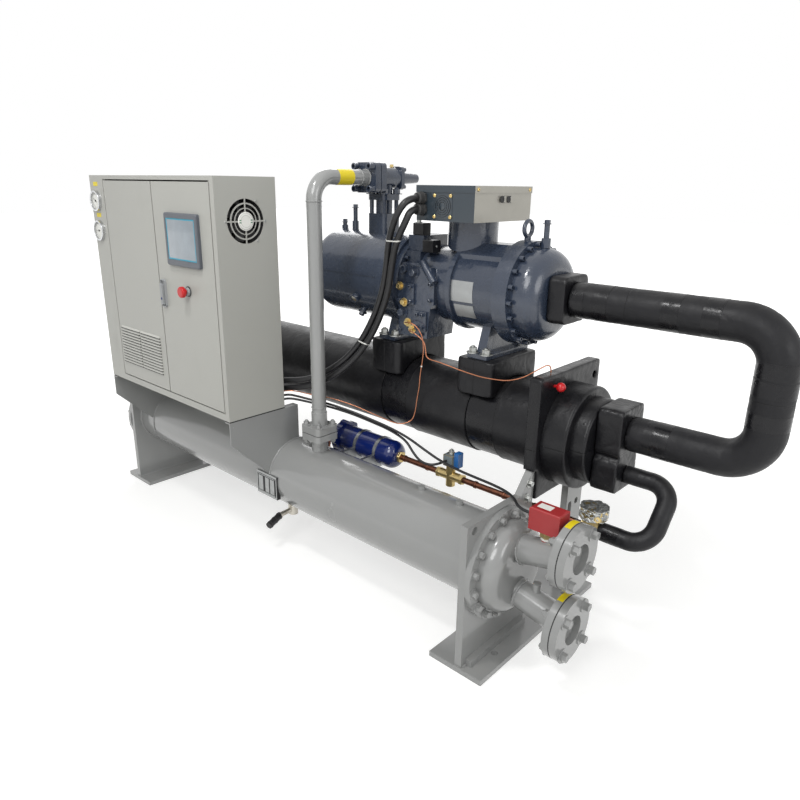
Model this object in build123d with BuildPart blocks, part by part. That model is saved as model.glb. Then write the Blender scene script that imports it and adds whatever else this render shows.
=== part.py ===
from build123d import *
from math import cos, radians, sin, tan
import os

# Water chiller: condenser vessel with its electric cabinet in front, and
# evaporator vessel with a screw compressor on top behind.
# Millimetres, +Z up. The origin is on the floor, at the centre of the foot bolts.
# +X runs along the vessels to the end with the water connections, and +Y to the back.

# Feet
FRAME_LENGTH = 2200.0
FOOT_WIDTH = 200.0
FOOT_DEPTH = 710.0
FOOT_THICK = 18.0
FOOT_HOLE_R = 11.0
FOOT_BOLT_X = 2116.0
FOOT_BOLT_Y = 442.0
FOOT_KEY = 22.0

# Tube sheets
SHEET_THICK = 25.0
SHEET_OUTER_X = 1022.0
SHEET_INNER_X = SHEET_OUTER_X - SHEET_THICK
SHEET_WIDTH = 350.0
SHEET_TOP = 502.0
LIFT_HOLE_R = 13.0
LIFT_HOLE_EDGE = 35.0
LIFT_HOLE_DROP = 24.0

# Condenser vessel
CONDENSER_R = 136.5
CONDENSER_WALL = 8.0
CONDENSER_Z = 318.0
CONDENSER_Y = -SHEET_WIDTH / 2
VESSEL_BOSS_R = 12.0
VESSEL_BOSS_RISE = 14.0
VESSEL_BOSS_X = (700.0, 860.0)

# Water covers and their connections
COVER_R = 180.0
COVER_FLANGE = 20.0
DOME_R = 148.0
DOME_DEPTH = 62.0
DOME_ROUND = 44.0
DOME_WALL = 10.0
NOZZLE_R = 44.5
NOZZLE_WALL = 4.0
NOZZLE_SPREAD = 118.0
NOZZLE_ANGLE = 12.6
WATER_FLANGE_R = 100.0
WATER_FLANGE_THICK = 22.0
GASKET_THICK = 3.0
GASKET_R = 92.0
COUNTER_THICK = 23.0
COUNTER_BORE_R = 45.5
COUNTER_BORE_DEPTH = 20.0
WATER_FACE_X = 1290.0
SENSOR_X = 1161.0
SENSOR_TOP = 300.0
SENSOR_R = 13.0

# Electric cabinet
CABINET_WIDTH = 912.0
CABINET_DEPTH = 250.0
CABINET_HEIGHT = 850.0
CABINET_BOTTOM = 600.0
CABINET_RIGHT = 31.0
CABINET_FRONT = -471.0
SHEET_STEEL = 2.0
MARGIN_LEFT = 115.0
MARGIN_RIGHT = 23.0
MARGIN_TOP = 15.0
MARGIN_BOTTOM = 25.0
DOOR_GAP = 5.0
DOOR_SPLIT = 6.0
DOOR_THICK = 18.0
LIP_DEPTH = 24.0
HINGE_INSET = 5.0
HINGE_PIN_R = 2.5
HINGE_PIN_CLEAR = 0.3
HINGE_PIN_LENGTH = 12.0
LOUVRE_COUNT = 13
LOUVRE_PITCH = 12.2
LOUVRE_LENGTH = 156.0
LOUVRE_RISE = 5.0
LOUVRE_HEIGHT = 9.0
LOUVRE_LOW = 690.0
LOUVRE_EDGE = 20.0
LOUVRE_SPACING = 164.0
GUARD_Y = -352.0
GUARD_Z = 1303.0
GUARD_RINGS = ((75.0, 62.0), (57.0, 45.0), (42.0, 0.0))
GUARD_SPOKE = 5.0
FAN_FRAME_R = 85.0
FAN_BORE_R = 77.0
FAN_DEPTH = 50.0
FAN_CLEAR = 7.0
FAN_HUB_R = 34.0
FAN_BLADES = 7
FAN_BLADE_THICK = 3.0
FAN_BLADE_PITCH = 35.0
FAN_SHAFT_R = 4.0
FAN_STRUT = 7.0
FAN_SHAFT_CLEAR = 0.3
GAUGE_R = 41.0
GAUGE_RISE = 12.0
GAUGE_CAN_R = 33.0
GAUGE_CAN_DEPTH = 40.0
GAUGE_INSET = 51.0
GAUGE_Z = (1350.0, 1232.0)

# Door fittings
SCREEN_LEFT = -283.0
SCREEN_WIDTH = 216.0
SCREEN_LOW = 1140.0
SCREEN_HEIGHT = 185.0
SCREEN_RISE = 14.0
SCREEN_FACE_BORDER = 14.0
ESTOP_X = -175.0
ESTOP_Z = 1052.0
ESTOP_COLLAR_R = 15.0
ESTOP_COLLAR_RISE = 12.0
ESTOP_HEAD_R = 20.0
ESTOP_HEAD_THICK = 14.0
ESTOP_TRAVEL = 5.0
ESTOP_HEAD_CLEAR = 5.0
ESTOP_STEM_R = 9.0
ESTOP_STEM_CLEAR = 0.5
HANDLE_X = -345.0
HANDLE_LOW = 975.0
HANDLE_HEIGHT = 105.0
HANDLE_WIDTH = 30.0
HANDLE_RISE = 9.0
LEVER_WIDTH = 15.0
LEVER_GAP = 5.0
LEVER_RISE = 8.0

# Cabinet brackets on the condenser vessel
BRACKET_THICK = 4.0
BRACKET_LIP = 30.0
BRACKET_FRONT_DROP = 100.0
BRACKET_BACK = -155.0
BRACKET_CORNER = 12.0
BRACKET_ROOT = 34.0
BRACKET_OVERHANG = 2.0
STRIP_THICK = 5.0
STRIP_WIDTH = 34.0
NAME_FRAME_WIDTH = 125.0
NAME_FRAME_HEIGHT = 96.0
NAME_FRAME_THICK = 6.0
NAME_FRAME_X = 22.0
NAME_FRAME_Z = 297.0

# Discharge line
DISCHARGE_X = 183.0
DISCHARGE_R = 27.0
DISCHARGE_Z = 1453.0
DISCHARGE_BEND = 78.0
SQUARE_FLANGE = 104.0
SQUARE_FLANGE_THICK = 25.0
SQUARE_FLANGE_LOW = 501.0
SQUARE_CORNER = 16.0
STUB_R = 32.0
WELD_NECK_R = 30.0
WELD_NECK_TOP = 605.0

# Discharge stop valve
PORT_FLANGE = 106.0
PORT_FLANGE_THICK = 27.0
PORT_FLANGE_Y = 76.0
VALVE_BODY_R = 40.0
VALVE_BODY_BACK = 245.0
BONNET = 84.0
BONNET_THICK = 16.0
SPINDLE_CAP_R = 24.0
SPINDLE_CAP_TIP_R = 17.0
SPINDLE_CAP_END = 355.0
VALVE_STEM_R = 31.0
VALVE_PLATE = 92.0
VALVE_PLATE_LOW = 1374.0
VALVE_PLATE_TOP = 1395.0
VALVE_BASE_TOP = 1325.0
VALVE_STUD_R = 8.0
VALVE_STUD_SPACING = 66.0

# Evaporator vessel, with its insulation
EVAPORATOR_Y = SHEET_WIDTH / 2
EVAPORATOR_Z = 655.0
EVAPORATOR_R = 150.0
EVAPORATOR_BORE_R = 128.0
WRAP_STEP = 3.5
WRAP_EDGES = (312.0, 443.0, 716.0, 834.0)
PLATE_WRAP = 10.0
PLATE_SIDE_WRAP = 20.0
PLATE_LOW = 466.0
PLATE_TOP = 875.0
PLATE_ROUND = 12.0
BRACKET_TOP = 570.0
PLATE_HOLE_R = 12.0
PLATE_HOLE_EDGE = 15.0
PLATE_HOLE_DROP = 52.0
WRAP_ROUND = 10.0
RING_R = 172.0
RING_DEPTH = 83.0
COLLAR_R = 140.0
COLLAR_DEPTH = 50.0
HEADER_DEPTH = 85.0
HEADER_TOP = 795.0
HEADER_MIDDLE = 637.0
HEADER_LOW = 522.0
HEADER_WIDTH = 160.0
HEADER_LOWER_WIDTH = 152.0
HEADER_LOWER_SHIFT = 10.0
HEADER_ROUND = 22.0
HEADER_ENTRY_RISE = 53.0
LEG_WIDTH = 105.0
LEG_HOLE_Z = 350.0
LEG_HOLE_EDGE = 36.0
LEG_SLOT_LENGTH = 63.0
LEG_SLOT_WIDTH = 25.0
LEG_SLOT_EDGE = 83.0
LEG_SLOT_Z = 330.0
GUSSET_REACH = 70.0
WATER_NOZZLE_X = 880.0
WATER_NOZZLE_REACH = 240.0

# Screw compressor
COMPRESSOR_Y = EVAPORATOR_Y
COMPRESSOR_Z = 1095.0
SEPARATOR_R = 162.0
SEPARATOR_START = -92.0
SEPARATOR_END = 379.0
SEPARATOR_ROUND = 60.0
SEPARATOR_FLANGE_R = 168.0
SEPARATOR_FLANGE_START = 302.0
SEAM_Z = 1112.0
SEAM_WIDTH = 8.0
SEAM_RISE = 3.0
SIGHT_X = 174.0
SIGHT_ANGLE = 118.0
SIGHT_R = 17.0
DRAIN_ANGLE = 142.0
DRAIN_R = 13.0
BODY_R = 132.0
BODY_FLANGE_R = 156.0
BODY_FLANGE_THICK = 20.0
BODY_FACE_Y = 30.0
CONTROL_LOW = 912.0
CONTROL_TOP = 1160.0
CONTROL_FOOT_X = 533.0
CONTROL_NOSE_X = 560.0
CONTROL_NOSE_LOW = 1035.0
CONTROL_NOSE_TOP = 1120.0
UPPER_PAD_X = (401.0, 475.0)
UPPER_PAD_Z = (1027.0, 1100.0)
LOWER_PAD_X = (480.0, 533.0)
LOWER_PAD_Z = (940.0, 1008.0)
PAD_RISE = 8.0
SLIDE_START = (498.0, 1178.0)
SLIDE_END = (562.0, 1112.0)
SLIDE_R = 14.0
MANIFOLD_TOP = 1262.0
MANIFOLD_STEP = 54.0
MANIFOLD_END = 466.0
COIL_STEM = 14.0
COIL_STEM_R = 7.0
COIL_LENGTH = 46.0
COIL_SIZE = 42.0
MOTOR_R = 140.0
MOTOR_START = 628.0
MOTOR_RING_R = 150.0
MOTOR_RING_THICK = 18.0
SHELF_HALF = 95.0
SHELF_EDGE_Z = 1213.0
RIDGE_HALF = 40.0
RIDGE_Z = 1248.0
MAIN_FLANGE_R = 170.0
MAIN_FLANGE_START = 812.0
MAIN_FLANGE_SPLIT = 842.0
MAIN_FLANGE_END = 867.0
END_COVER_R = 150.0
END_COVER_END = 958.0
END_COVER_ROUND = 62.0
EYE_R = 24.0
EYE_BAR_R = 7.0
EYE_RISE = 36.0
SERVICE_VALVE_R = 9.0
SUPPORT_TOP = 875.0
SUPPORT_LENGTH = 152.0
SUPPORT_WIDTH = 290.0
SUPPORT_ROUND = 22.0
SUPPORT_X = (325.0, 740.0)
FOOT_PAD_THICK = 16.0
FOOT_PAD_LENGTH = 80.0
FOOT_PAD_WIDTH = 256.0
FOOT_WEB = 34.0
TERMINAL_X = 609.0
TERMINAL_WIDTH = 242.0
TERMINAL_DEPTH = 330.0
TERMINAL_LOW = 1318.0
TERMINAL_TOP = 1430.0
TERMINAL_LID = 22.0
TERMINAL_NECK_R = 86.0
TERMINAL_SHEET = 2.0
GLAND_X = 517.0
GLAND_Z = (1389.0, 1354.0)
GLAND_R = 17.0
GLAND_REACH = 26.0
BOX_PLUG_Y = (175.0, 213.0)
BOX_PLUG_Z = 1389.0
BOX_PLUG_R = 11.0

# Suction line, with its insulation
SUCTION_R = 56.0
SUCTION_OUT_X = 1612.0
SUCTION_LOW_Z = 708.0
SUCTION_BEND = 105.0
SUCTION_BOX_LENGTH = 60.0
SUCTION_BOX_WIDTH = 154.0
SUCTION_BOX_HEIGHT = 152.0
SUCTION_BOX_ROUND = 26.0

# Liquid line
LIQUID_Y = 25.0
LIQUID_Z = 430.0
LIQUID_R = 11.0
DRIER_R = 55.0
DRIER_START = 97.0
DRIER_LENGTH = 322.0
DRIER_FLANGE_R = 66.0
DRIER_FLANGE_THICK = 30.0
DRIER_LOBES = 8
DRIER_LOBE_R = 13.0
DRIER_ROUND = 38.0
DRIER_STRAP_X = (222.0, 330.0)
DRIER_STRAP_WIDTH = 14.0
DRIER_STRAP_RISE = 3.0
SOLENOID_X = 668.0
SOLENOID_LENGTH = 96.0
SOLENOID_R = 17.0
SOLENOID_CAP_DROP = 38.0
EXPANSION_X = 1224.0
EXPANSION_BLOCK = 48.0
EXPANSION_HEAD_LOW = 470.0
EXPANSION_HEAD_TOP = 504.0
EXPANSION_HEAD_R = 42.0
LIQUID_WRAP_R = 29.0
LOOP_END_X = 1400.0
LOOP_BEND = 66.0
OUTLET_DROP = 50.0
OUTLET_BEND = 45.0
OUTLET_BODY_R = 20.0
OUTLET_STEM_END = (10.0, -250.0, 134.0)
OUTLET_CAP_END = (28.0, -322.0, 119.0)
OUTLET_CAP_R = 14.0

# Flow switch
SWITCH_X = 1180.0
SWITCH_LENGTH = 98.0
SWITCH_WIDTH = 60.0
SWITCH_LOW = 487.0
SWITCH_TOP = 556.0
SWITCH_ROUND = 6.0
SWITCH_STEM_R = 17.0
SWITCH_GLAND_Z = 520.0
SWITCH_GLAND_R = 8.0
SWITCH_GLAND_REACH = 14.0

# Cables and capillary tubes
POWER_CABLE_R = 11.5
CONTROL_CABLE_R = 4.5
CAPILLARY_R = 2.0
CABLE_LEAD = (46.0, 34.0)
CONTROL_LEAD = 30.0
CONTROL_ENTRY_Z = (642.0, 626.0, 658.0)
CABLE_ENTRY_X = -24.0
CABLE_ENTRY_Z = (690.0, 660.0)
CONTROL_ENTRY_X = 14.0
ARC_SHARE = 0.45


def block(x, y, z, mode=Mode.ADD):
    """Adds a box that reaches from the first to the second value on each axis."""
    with Locations(((x[0] + x[1]) / 2, (y[0] + y[1]) / 2, (z[0] + z[1]) / 2)):
        return Box(abs(x[1] - x[0]), abs(y[1] - y[0]), abs(z[1] - z[0]), mode=mode)


def rod(start, end, radius, mode=Mode.ADD):
    """Adds a round bar between two points."""
    run = Vector(*end) - Vector(*start)
    with Locations(Plane(origin=start, z_dir=run.normalized())):
        return Cylinder(radius, run.length, align=(Align.CENTER, Align.CENTER, Align.MIN), mode=mode)


def wrapped_box(x, y, z, corner):
    """Adds a bar along X whose long edges are rounded, as tape rounds the edges of foam."""
    with BuildSketch(Plane(origin=(x[0], (y[0] + y[1]) / 2, (z[0] + z[1]) / 2), x_dir=(0, 1, 0),
                           z_dir=(1, 0, 0))) as section:
        RectangleRounded(y[1] - y[0], z[1] - z[0], corner)
    extrude(section.sketch, amount=x[1] - x[0])


def profile_x(x, points):
    """An outline drawn in Y and Z, and made as thick as the two X values are apart."""
    with BuildSketch(Plane(origin=(x[0], 0, 0), x_dir=(0, 1, 0), z_dir=(1, 0, 0))) as outline:
        with BuildLine():
            Polyline(*points, close=True)
        make_face()
    extrude(outline.sketch, amount=x[1] - x[0])


def cord(points, radius, start_share=ARC_SHARE):
    """A cable along a route, with each bend as wide as its two runs allow."""
    corners = [Vector(*point) for point in points]
    radii = []
    for before, here, after in zip(corners, corners[1:], corners[2:]):
        shorter = min((here - before).length, (after - here).length)
        turn = (here - before).get_angle(after - here)
        radii.append(start_share * shorter / tan(radians(turn / 2)))
    with BuildLine() as route:
        FilletPolyline(*points, radius=radii)
    with BuildSketch(Plane(origin=route.line @ 0, z_dir=route.line % 0)) as section:
        Circle(radius)
    sweep(section.sketch, path=route.line)
    return radii


def save(builder, name):
    """Labels a finished piece and writes it to its own file."""
    builder.part.label = name
    export_step(builder.part, f"parts/{name}.step")


os.makedirs("parts", exist_ok=True)

# Feet: one plate under each end, with a key bar beside the tube sheet
foot_x = FRAME_LENGTH / 2 - FOOT_WIDTH / 2
for side, name in ((1, "foot_right"), (-1, "foot_left")):
    with BuildPart() as foot:
        block((side * (foot_x - FOOT_WIDTH / 2), side * (foot_x + FOOT_WIDTH / 2)),
              (-FOOT_DEPTH / 2, FOOT_DEPTH / 2), (0, FOOT_THICK))
        block((side * SHEET_OUTER_X, side * (SHEET_OUTER_X + FOOT_KEY)),
              (-SHEET_WIDTH + FOOT_KEY, -FOOT_KEY), (FOOT_THICK, FOOT_THICK + FOOT_KEY))
        with Locations((side * FOOT_BOLT_X / 2, 0, FOOT_THICK)):
            with GridLocations(1, FOOT_BOLT_Y, 1, 2):
                Hole(FOOT_HOLE_R, depth=FOOT_THICK)
    save(foot, name)

# Tube sheets: a thick plate at each end of the condenser vessel
for side, name in ((1, "tubesheet_right"), (-1, "tubesheet_left")):
    with BuildPart() as tubesheet:
        block((side * SHEET_INNER_X, side * SHEET_OUTER_X), (-SHEET_WIDTH, 0), (FOOT_THICK, SHEET_TOP))
        for hole_y in (-SHEET_WIDTH + LIFT_HOLE_EDGE, -LIFT_HOLE_EDGE):
            rod((side * SHEET_INNER_X, hole_y, SHEET_TOP - LIFT_HOLE_DROP),
                (side * SHEET_OUTER_X, hole_y, SHEET_TOP - LIFT_HOLE_DROP), LIFT_HOLE_R, Mode.SUBTRACT)
    save(tubesheet, name)

# Condenser vessel: a plain tube with two small bosses on top
with BuildPart() as condenser_shell:
    rod((-SHEET_INNER_X, CONDENSER_Y, CONDENSER_Z), (SHEET_INNER_X, CONDENSER_Y, CONDENSER_Z), CONDENSER_R)
    for boss_x in VESSEL_BOSS_X:
        rod((boss_x, CONDENSER_Y, CONDENSER_Z),
            (boss_x, CONDENSER_Y, CONDENSER_Z + CONDENSER_R + VESSEL_BOSS_RISE), VESSEL_BOSS_R)
    rod((-SHEET_INNER_X, CONDENSER_Y, CONDENSER_Z), (SHEET_INNER_X, CONDENSER_Y, CONDENSER_Z),
        CONDENSER_R - CONDENSER_WALL, Mode.SUBTRACT)
save(condenser_shell, "condenser_shell")


cover_plane = Plane(origin=(0, CONDENSER_Y, 0), x_dir=(1, 0, 0), z_dir=(0, -1, 0))
cover_axis = Axis((0, CONDENSER_Y, CONDENSER_Z), (1, 0, 0))


def water_dome(side):
    """The dome of a water cover, turned about the vessel's axis."""
    crown_x = SHEET_OUTER_X + COVER_FLANGE + DOME_DEPTH
    with BuildSketch(cover_plane) as half:
        with BuildLine():
            Polyline((side * (crown_x - DOME_ROUND), CONDENSER_Z + DOME_R),
                     (side * SHEET_OUTER_X, CONDENSER_Z + DOME_R), (side * SHEET_OUTER_X, CONDENSER_Z),
                     (side * crown_x, CONDENSER_Z), (side * crown_x, CONDENSER_Z + DOME_R - DOME_ROUND))
            RadiusArc((side * (crown_x - DOME_ROUND), CONDENSER_Z + DOME_R),
                      (side * crown_x, CONDENSER_Z + DOME_R - DOME_ROUND), side * DOME_ROUND)
        make_face()
    revolve(half.sketch, axis=cover_axis)
    rod((side * SHEET_OUTER_X, CONDENSER_Y, CONDENSER_Z),
        (side * (SHEET_OUTER_X + COVER_FLANGE), CONDENSER_Y, CONDENSER_Z), COVER_R)


def hollow_dome(side):
    """Cuts the water space into a cover: a wide step, and a narrower one under the crown."""
    shoulder_x = SHEET_OUTER_X + COVER_FLANGE + DOME_DEPTH - DOME_ROUND
    crown_x = SHEET_OUTER_X + COVER_FLANGE + DOME_DEPTH - DOME_WALL
    rod((side * SHEET_OUTER_X, CONDENSER_Y, CONDENSER_Z), (side * shoulder_x, CONDENSER_Y, CONDENSER_Z),
        DOME_R - DOME_WALL, Mode.SUBTRACT)
    rod((side * SHEET_OUTER_X, CONDENSER_Y, CONDENSER_Z), (side * crown_x, CONDENSER_Y, CONDENSER_Z),
        DOME_R - DOME_ROUND - DOME_WALL, Mode.SUBTRACT)


gasket_x = WATER_FACE_X - COUNTER_THICK - GASKET_THICK
pipe_flange_x = gasket_x - WATER_FLANGE_THICK
nozzle_rise = tan(radians(NOZZLE_ANGLE))
lower_nozzle_z = CONDENSER_Z - NOZZLE_SPREAD + (WATER_FACE_X - SENSOR_X) * nozzle_rise

# Right water cover: domed casting with two spread nozzles that end in flat-faced flanges
with BuildPart() as end_cover_right:
    water_dome(1)
    for updown in (1, -1):
        face_z = CONDENSER_Z + updown * NOZZLE_SPREAD
        root_x = SHEET_OUTER_X + COVER_FLANGE
        root_z = face_z - updown * (WATER_FACE_X - root_x) * nozzle_rise
        tip_z = face_z - updown * (WATER_FACE_X - gasket_x) * nozzle_rise
        rod((root_x, CONDENSER_Y, root_z), (gasket_x, CONDENSER_Y, tip_z), NOZZLE_R)
        rod((pipe_flange_x, CONDENSER_Y, face_z), (gasket_x, CONDENSER_Y, face_z), WATER_FLANGE_R)
    block((gasket_x, gasket_x + NOZZLE_R), (CONDENSER_Y - COVER_R, CONDENSER_Y + COVER_R),
          (0, SHEET_TOP), Mode.SUBTRACT)
    rod((SENSOR_X, CONDENSER_Y, lower_nozzle_z), (SENSOR_X, CONDENSER_Y, SENSOR_TOP), SENSOR_R)
    hollow_dome(1)
    for updown in (1, -1):
        face_z = CONDENSER_Z + updown * NOZZLE_SPREAD
        root_x = SHEET_OUTER_X + COVER_FLANGE
        root_z = face_z - updown * (WATER_FACE_X - root_x) * nozzle_rise
        rod((root_x, CONDENSER_Y, root_z), (WATER_FACE_X, CONDENSER_Y, face_z),
            NOZZLE_R - NOZZLE_WALL, Mode.SUBTRACT)
save(end_cover_right, "end_cover_right")

# Left water cover: the plain return cover
with BuildPart() as end_cover_left:
    water_dome(-1)
    hollow_dome(-1)
save(end_cover_left, "end_cover_left")

# Counter flanges: what the water pipes are welded to, each with a blind bore
for updown, name in ((1, "counter_flange_upper"), (-1, "counter_flange_lower")):
    face_z = CONDENSER_Z + updown * NOZZLE_SPREAD
    with BuildPart() as counter_flange:
        rod((WATER_FACE_X - COUNTER_THICK, CONDENSER_Y, face_z), (WATER_FACE_X, CONDENSER_Y, face_z),
            WATER_FLANGE_R)
        rod((WATER_FACE_X - COUNTER_BORE_DEPTH, CONDENSER_Y, face_z), (WATER_FACE_X, CONDENSER_Y, face_z),
            COUNTER_BORE_R, Mode.SUBTRACT)
    save(counter_flange, name)

# Gaskets between each pair of flanges
flange_mid = SQUARE_FLANGE_LOW + SQUARE_FLANGE_THICK
with BuildPart() as flange_gaskets:
    for updown in (1, -1):
        face_z = CONDENSER_Z + updown * NOZZLE_SPREAD
        rod((gasket_x, CONDENSER_Y, face_z), (gasket_x + GASKET_THICK, CONDENSER_Y, face_z), GASKET_R)
        rod((gasket_x, CONDENSER_Y, face_z), (gasket_x + GASKET_THICK, CONDENSER_Y, face_z),
            COUNTER_BORE_R, Mode.SUBTRACT)
    rod((DISCHARGE_X, CONDENSER_Y, flange_mid), (DISCHARGE_X, CONDENSER_Y, flange_mid + GASKET_THICK),
        SQUARE_FLANGE / 2 - GASKET_THICK)
save(flange_gaskets, "flange_gaskets")

# Electric cabinet, made of panels
cabinet_left = CABINET_RIGHT - CABINET_WIDTH
cabinet_back = CABINET_FRONT + CABINET_DEPTH
cabinet_top = CABINET_BOTTOM + CABINET_HEIGHT
opening_x = (cabinet_left + MARGIN_LEFT, CABINET_RIGHT - MARGIN_RIGHT)
opening_z = (CABINET_BOTTOM + MARGIN_BOTTOM, cabinet_top - MARGIN_TOP)
inner_x = (cabinet_left + SHEET_STEEL, CABINET_RIGHT - SHEET_STEEL)
inner_z = (CABINET_BOTTOM + SHEET_STEEL, cabinet_top - SHEET_STEEL)

with BuildPart() as cabinet_base:
    block((cabinet_left, CABINET_RIGHT), (CABINET_FRONT, cabinet_back), (CABINET_BOTTOM, inner_z[0]))
save(cabinet_base, "cabinet_base")

with BuildPart() as cabinet_roof:
    block((cabinet_left, CABINET_RIGHT), (CABINET_FRONT, cabinet_back), (inner_z[1], cabinet_top))
save(cabinet_roof, "cabinet_roof")

with BuildPart() as cabinet_rear:
    block(inner_x, (cabinet_back - SHEET_STEEL, cabinet_back), inner_z)
save(cabinet_rear, "cabinet_rear")

with BuildPart() as cabinet_sides:
    block((cabinet_left, inner_x[0]), (CABINET_FRONT + SHEET_STEEL, cabinet_back), inner_z)
    block((inner_x[1], CABINET_RIGHT), (CABINET_FRONT + SHEET_STEEL, cabinet_back), inner_z)
    with BuildSketch(Plane(origin=(inner_x[1], GUARD_Y, GUARD_Z), x_dir=(0, 1, 0), z_dir=(1, 0, 0))):
        for outer_r, inner_r in GUARD_RINGS:
            Circle(outer_r)
            if inner_r:
                Circle(inner_r, mode=Mode.SUBTRACT)
        with Locations((0, 0)):
            Rectangle(2 * FAN_FRAME_R, GUARD_SPOKE, mode=Mode.SUBTRACT)
            Rectangle(GUARD_SPOKE, 2 * FAN_FRAME_R, mode=Mode.SUBTRACT)
    extrude(amount=SHEET_STEEL, mode=Mode.SUBTRACT)
save(cabinet_sides, "cabinet_sides")

# Front frame around the doors, with a lip behind it and the hinge pins
leaf_width = (opening_x[1] - opening_x[0] - 2 * DOOR_GAP - DOOR_SPLIT) / 2
leaf_z = (opening_z[0] + DOOR_GAP, opening_z[1] - DOOR_GAP)
hinge_y = CABINET_FRONT + HINGE_INSET
hinge_left = opening_x[0] + DOOR_GAP + HINGE_INSET
hinge_right = opening_x[1] - DOOR_GAP - HINGE_INSET
gauge_x = cabinet_left + GAUGE_INSET
with BuildPart() as cabinet_front:
    block((cabinet_left, CABINET_RIGHT), (CABINET_FRONT, CABINET_FRONT + SHEET_STEEL), inner_z)
    block((opening_x[0] - SHEET_STEEL, opening_x[1] + SHEET_STEEL),
          (CABINET_FRONT, CABINET_FRONT + LIP_DEPTH),
          (opening_z[0] - SHEET_STEEL, opening_z[1] + SHEET_STEEL))
    block(opening_x, (CABINET_FRONT, CABINET_FRONT + LIP_DEPTH), opening_z, Mode.SUBTRACT)
    for hinge_x in (hinge_left, hinge_right):
        rod((hinge_x, hinge_y, opening_z[0]), (hinge_x, hinge_y, opening_z[0] + HINGE_PIN_LENGTH), HINGE_PIN_R)
        rod((hinge_x, hinge_y, opening_z[1] - HINGE_PIN_LENGTH), (hinge_x, hinge_y, opening_z[1]), HINGE_PIN_R)
    for gauge_z in GAUGE_Z:
        rod((gauge_x, CABINET_FRONT, gauge_z), (gauge_x, CABINET_FRONT + SHEET_STEEL, gauge_z),
            GAUGE_CAN_R, Mode.SUBTRACT)
save(cabinet_front, "cabinet_front")

leaf_left = (opening_x[0] + DOOR_GAP, opening_x[0] + DOOR_GAP + leaf_width)
leaf_right = (opening_x[1] - DOOR_GAP - leaf_width, opening_x[1] - DOOR_GAP)
estop_seat_r = ESTOP_STEM_R + ESTOP_STEM_CLEAR
estop_stem_back = CABINET_FRONT + DOOR_THICK
for leaf_x, hinge_x, name in ((leaf_left, hinge_left, "door_left"), (leaf_right, hinge_right, "door_right")):
    with BuildPart() as door:
        block(leaf_x, (CABINET_FRONT, CABINET_FRONT + DOOR_THICK), leaf_z)
        block((leaf_x[0] + SHEET_STEEL, leaf_x[1] - SHEET_STEEL),
              (CABINET_FRONT + SHEET_STEEL, CABINET_FRONT + DOOR_THICK),
              (leaf_z[0] + SHEET_STEEL, leaf_z[1] - SHEET_STEEL), Mode.SUBTRACT)
        pin_hole = HINGE_PIN_R + HINGE_PIN_CLEAR
        rod((hinge_x, hinge_y, leaf_z[0]), (hinge_x, hinge_y, leaf_z[0] + SHEET_STEEL), pin_hole, Mode.SUBTRACT)
        rod((hinge_x, hinge_y, leaf_z[1] - SHEET_STEEL), (hinge_x, hinge_y, leaf_z[1]), pin_hole, Mode.SUBTRACT)
        if name == "door_left":
            for column in range(2):
                louvre_x = leaf_x[0] + LOUVRE_EDGE + column * LOUVRE_SPACING
                with BuildSketch(Plane(origin=(louvre_x, 0, 0), x_dir=(0, 1, 0), z_dir=(1, 0, 0))):
                    for row in range(LOUVRE_COUNT):
                        low = LOUVRE_LOW + row * LOUVRE_PITCH
                        with BuildLine():
                            Polyline((CABINET_FRONT, low), (CABINET_FRONT - LOUVRE_RISE, low),
                                     (CABINET_FRONT, low + LOUVRE_HEIGHT), close=True)
                        make_face()
                extrude(amount=LOUVRE_LENGTH)
        else:
            rod((ESTOP_X, CABINET_FRONT, ESTOP_Z), (ESTOP_X, CABINET_FRONT + SHEET_STEEL, ESTOP_Z),
                estop_seat_r, Mode.SUBTRACT)
    save(door, name)

# Touch screen on the right door: a bezel around a sunk face
with BuildPart() as touch_screen:
    screen_x = (SCREEN_LEFT, SCREEN_LEFT + SCREEN_WIDTH)
    screen_z = (SCREEN_LOW, SCREEN_LOW + SCREEN_HEIGHT)
    block(screen_x, (CABINET_FRONT - SCREEN_RISE, CABINET_FRONT), screen_z)
    fillet(touch_screen.edges().filter_by(Axis.Y), 8)
    chamfer(touch_screen.faces().sort_by(Axis.Y)[0].edges(), 3)
    block((screen_x[0] + SCREEN_FACE_BORDER, screen_x[1] - SCREEN_FACE_BORDER),
          (CABINET_FRONT - SCREEN_RISE, CABINET_FRONT - SCREEN_RISE + 2),
          (screen_z[0] + SCREEN_FACE_BORDER + 8, screen_z[1] - SCREEN_FACE_BORDER - 4), Mode.SUBTRACT)
save(touch_screen, "touch_screen")

# Door latch: a plate with a pocket, and the lever that swings out of it
lever_low = HANDLE_LOW + 10
lever_top = HANDLE_LOW + HANDLE_HEIGHT - 16
pocket_depth = HANDLE_RISE - 2
pocket_top = lever_top + 11
lever_axis_y = CABINET_FRONT - HANDLE_RISE
with BuildPart() as latch_plate:
    block((HANDLE_X - HANDLE_WIDTH / 2, HANDLE_X + HANDLE_WIDTH / 2),
          (CABINET_FRONT - HANDLE_RISE, CABINET_FRONT), (HANDLE_LOW, HANDLE_LOW + HANDLE_HEIGHT))
    fillet(latch_plate.edges().filter_by(Axis.Y), 10)
    block((HANDLE_X - LEVER_WIDTH / 2 - LEVER_GAP, HANDLE_X + LEVER_WIDTH / 2 + LEVER_GAP),
          (CABINET_FRONT - HANDLE_RISE, CABINET_FRONT - HANDLE_RISE + pocket_depth),
          (lever_low - LEVER_GAP, pocket_top), Mode.SUBTRACT)
save(latch_plate, "latch_plate")

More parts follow.
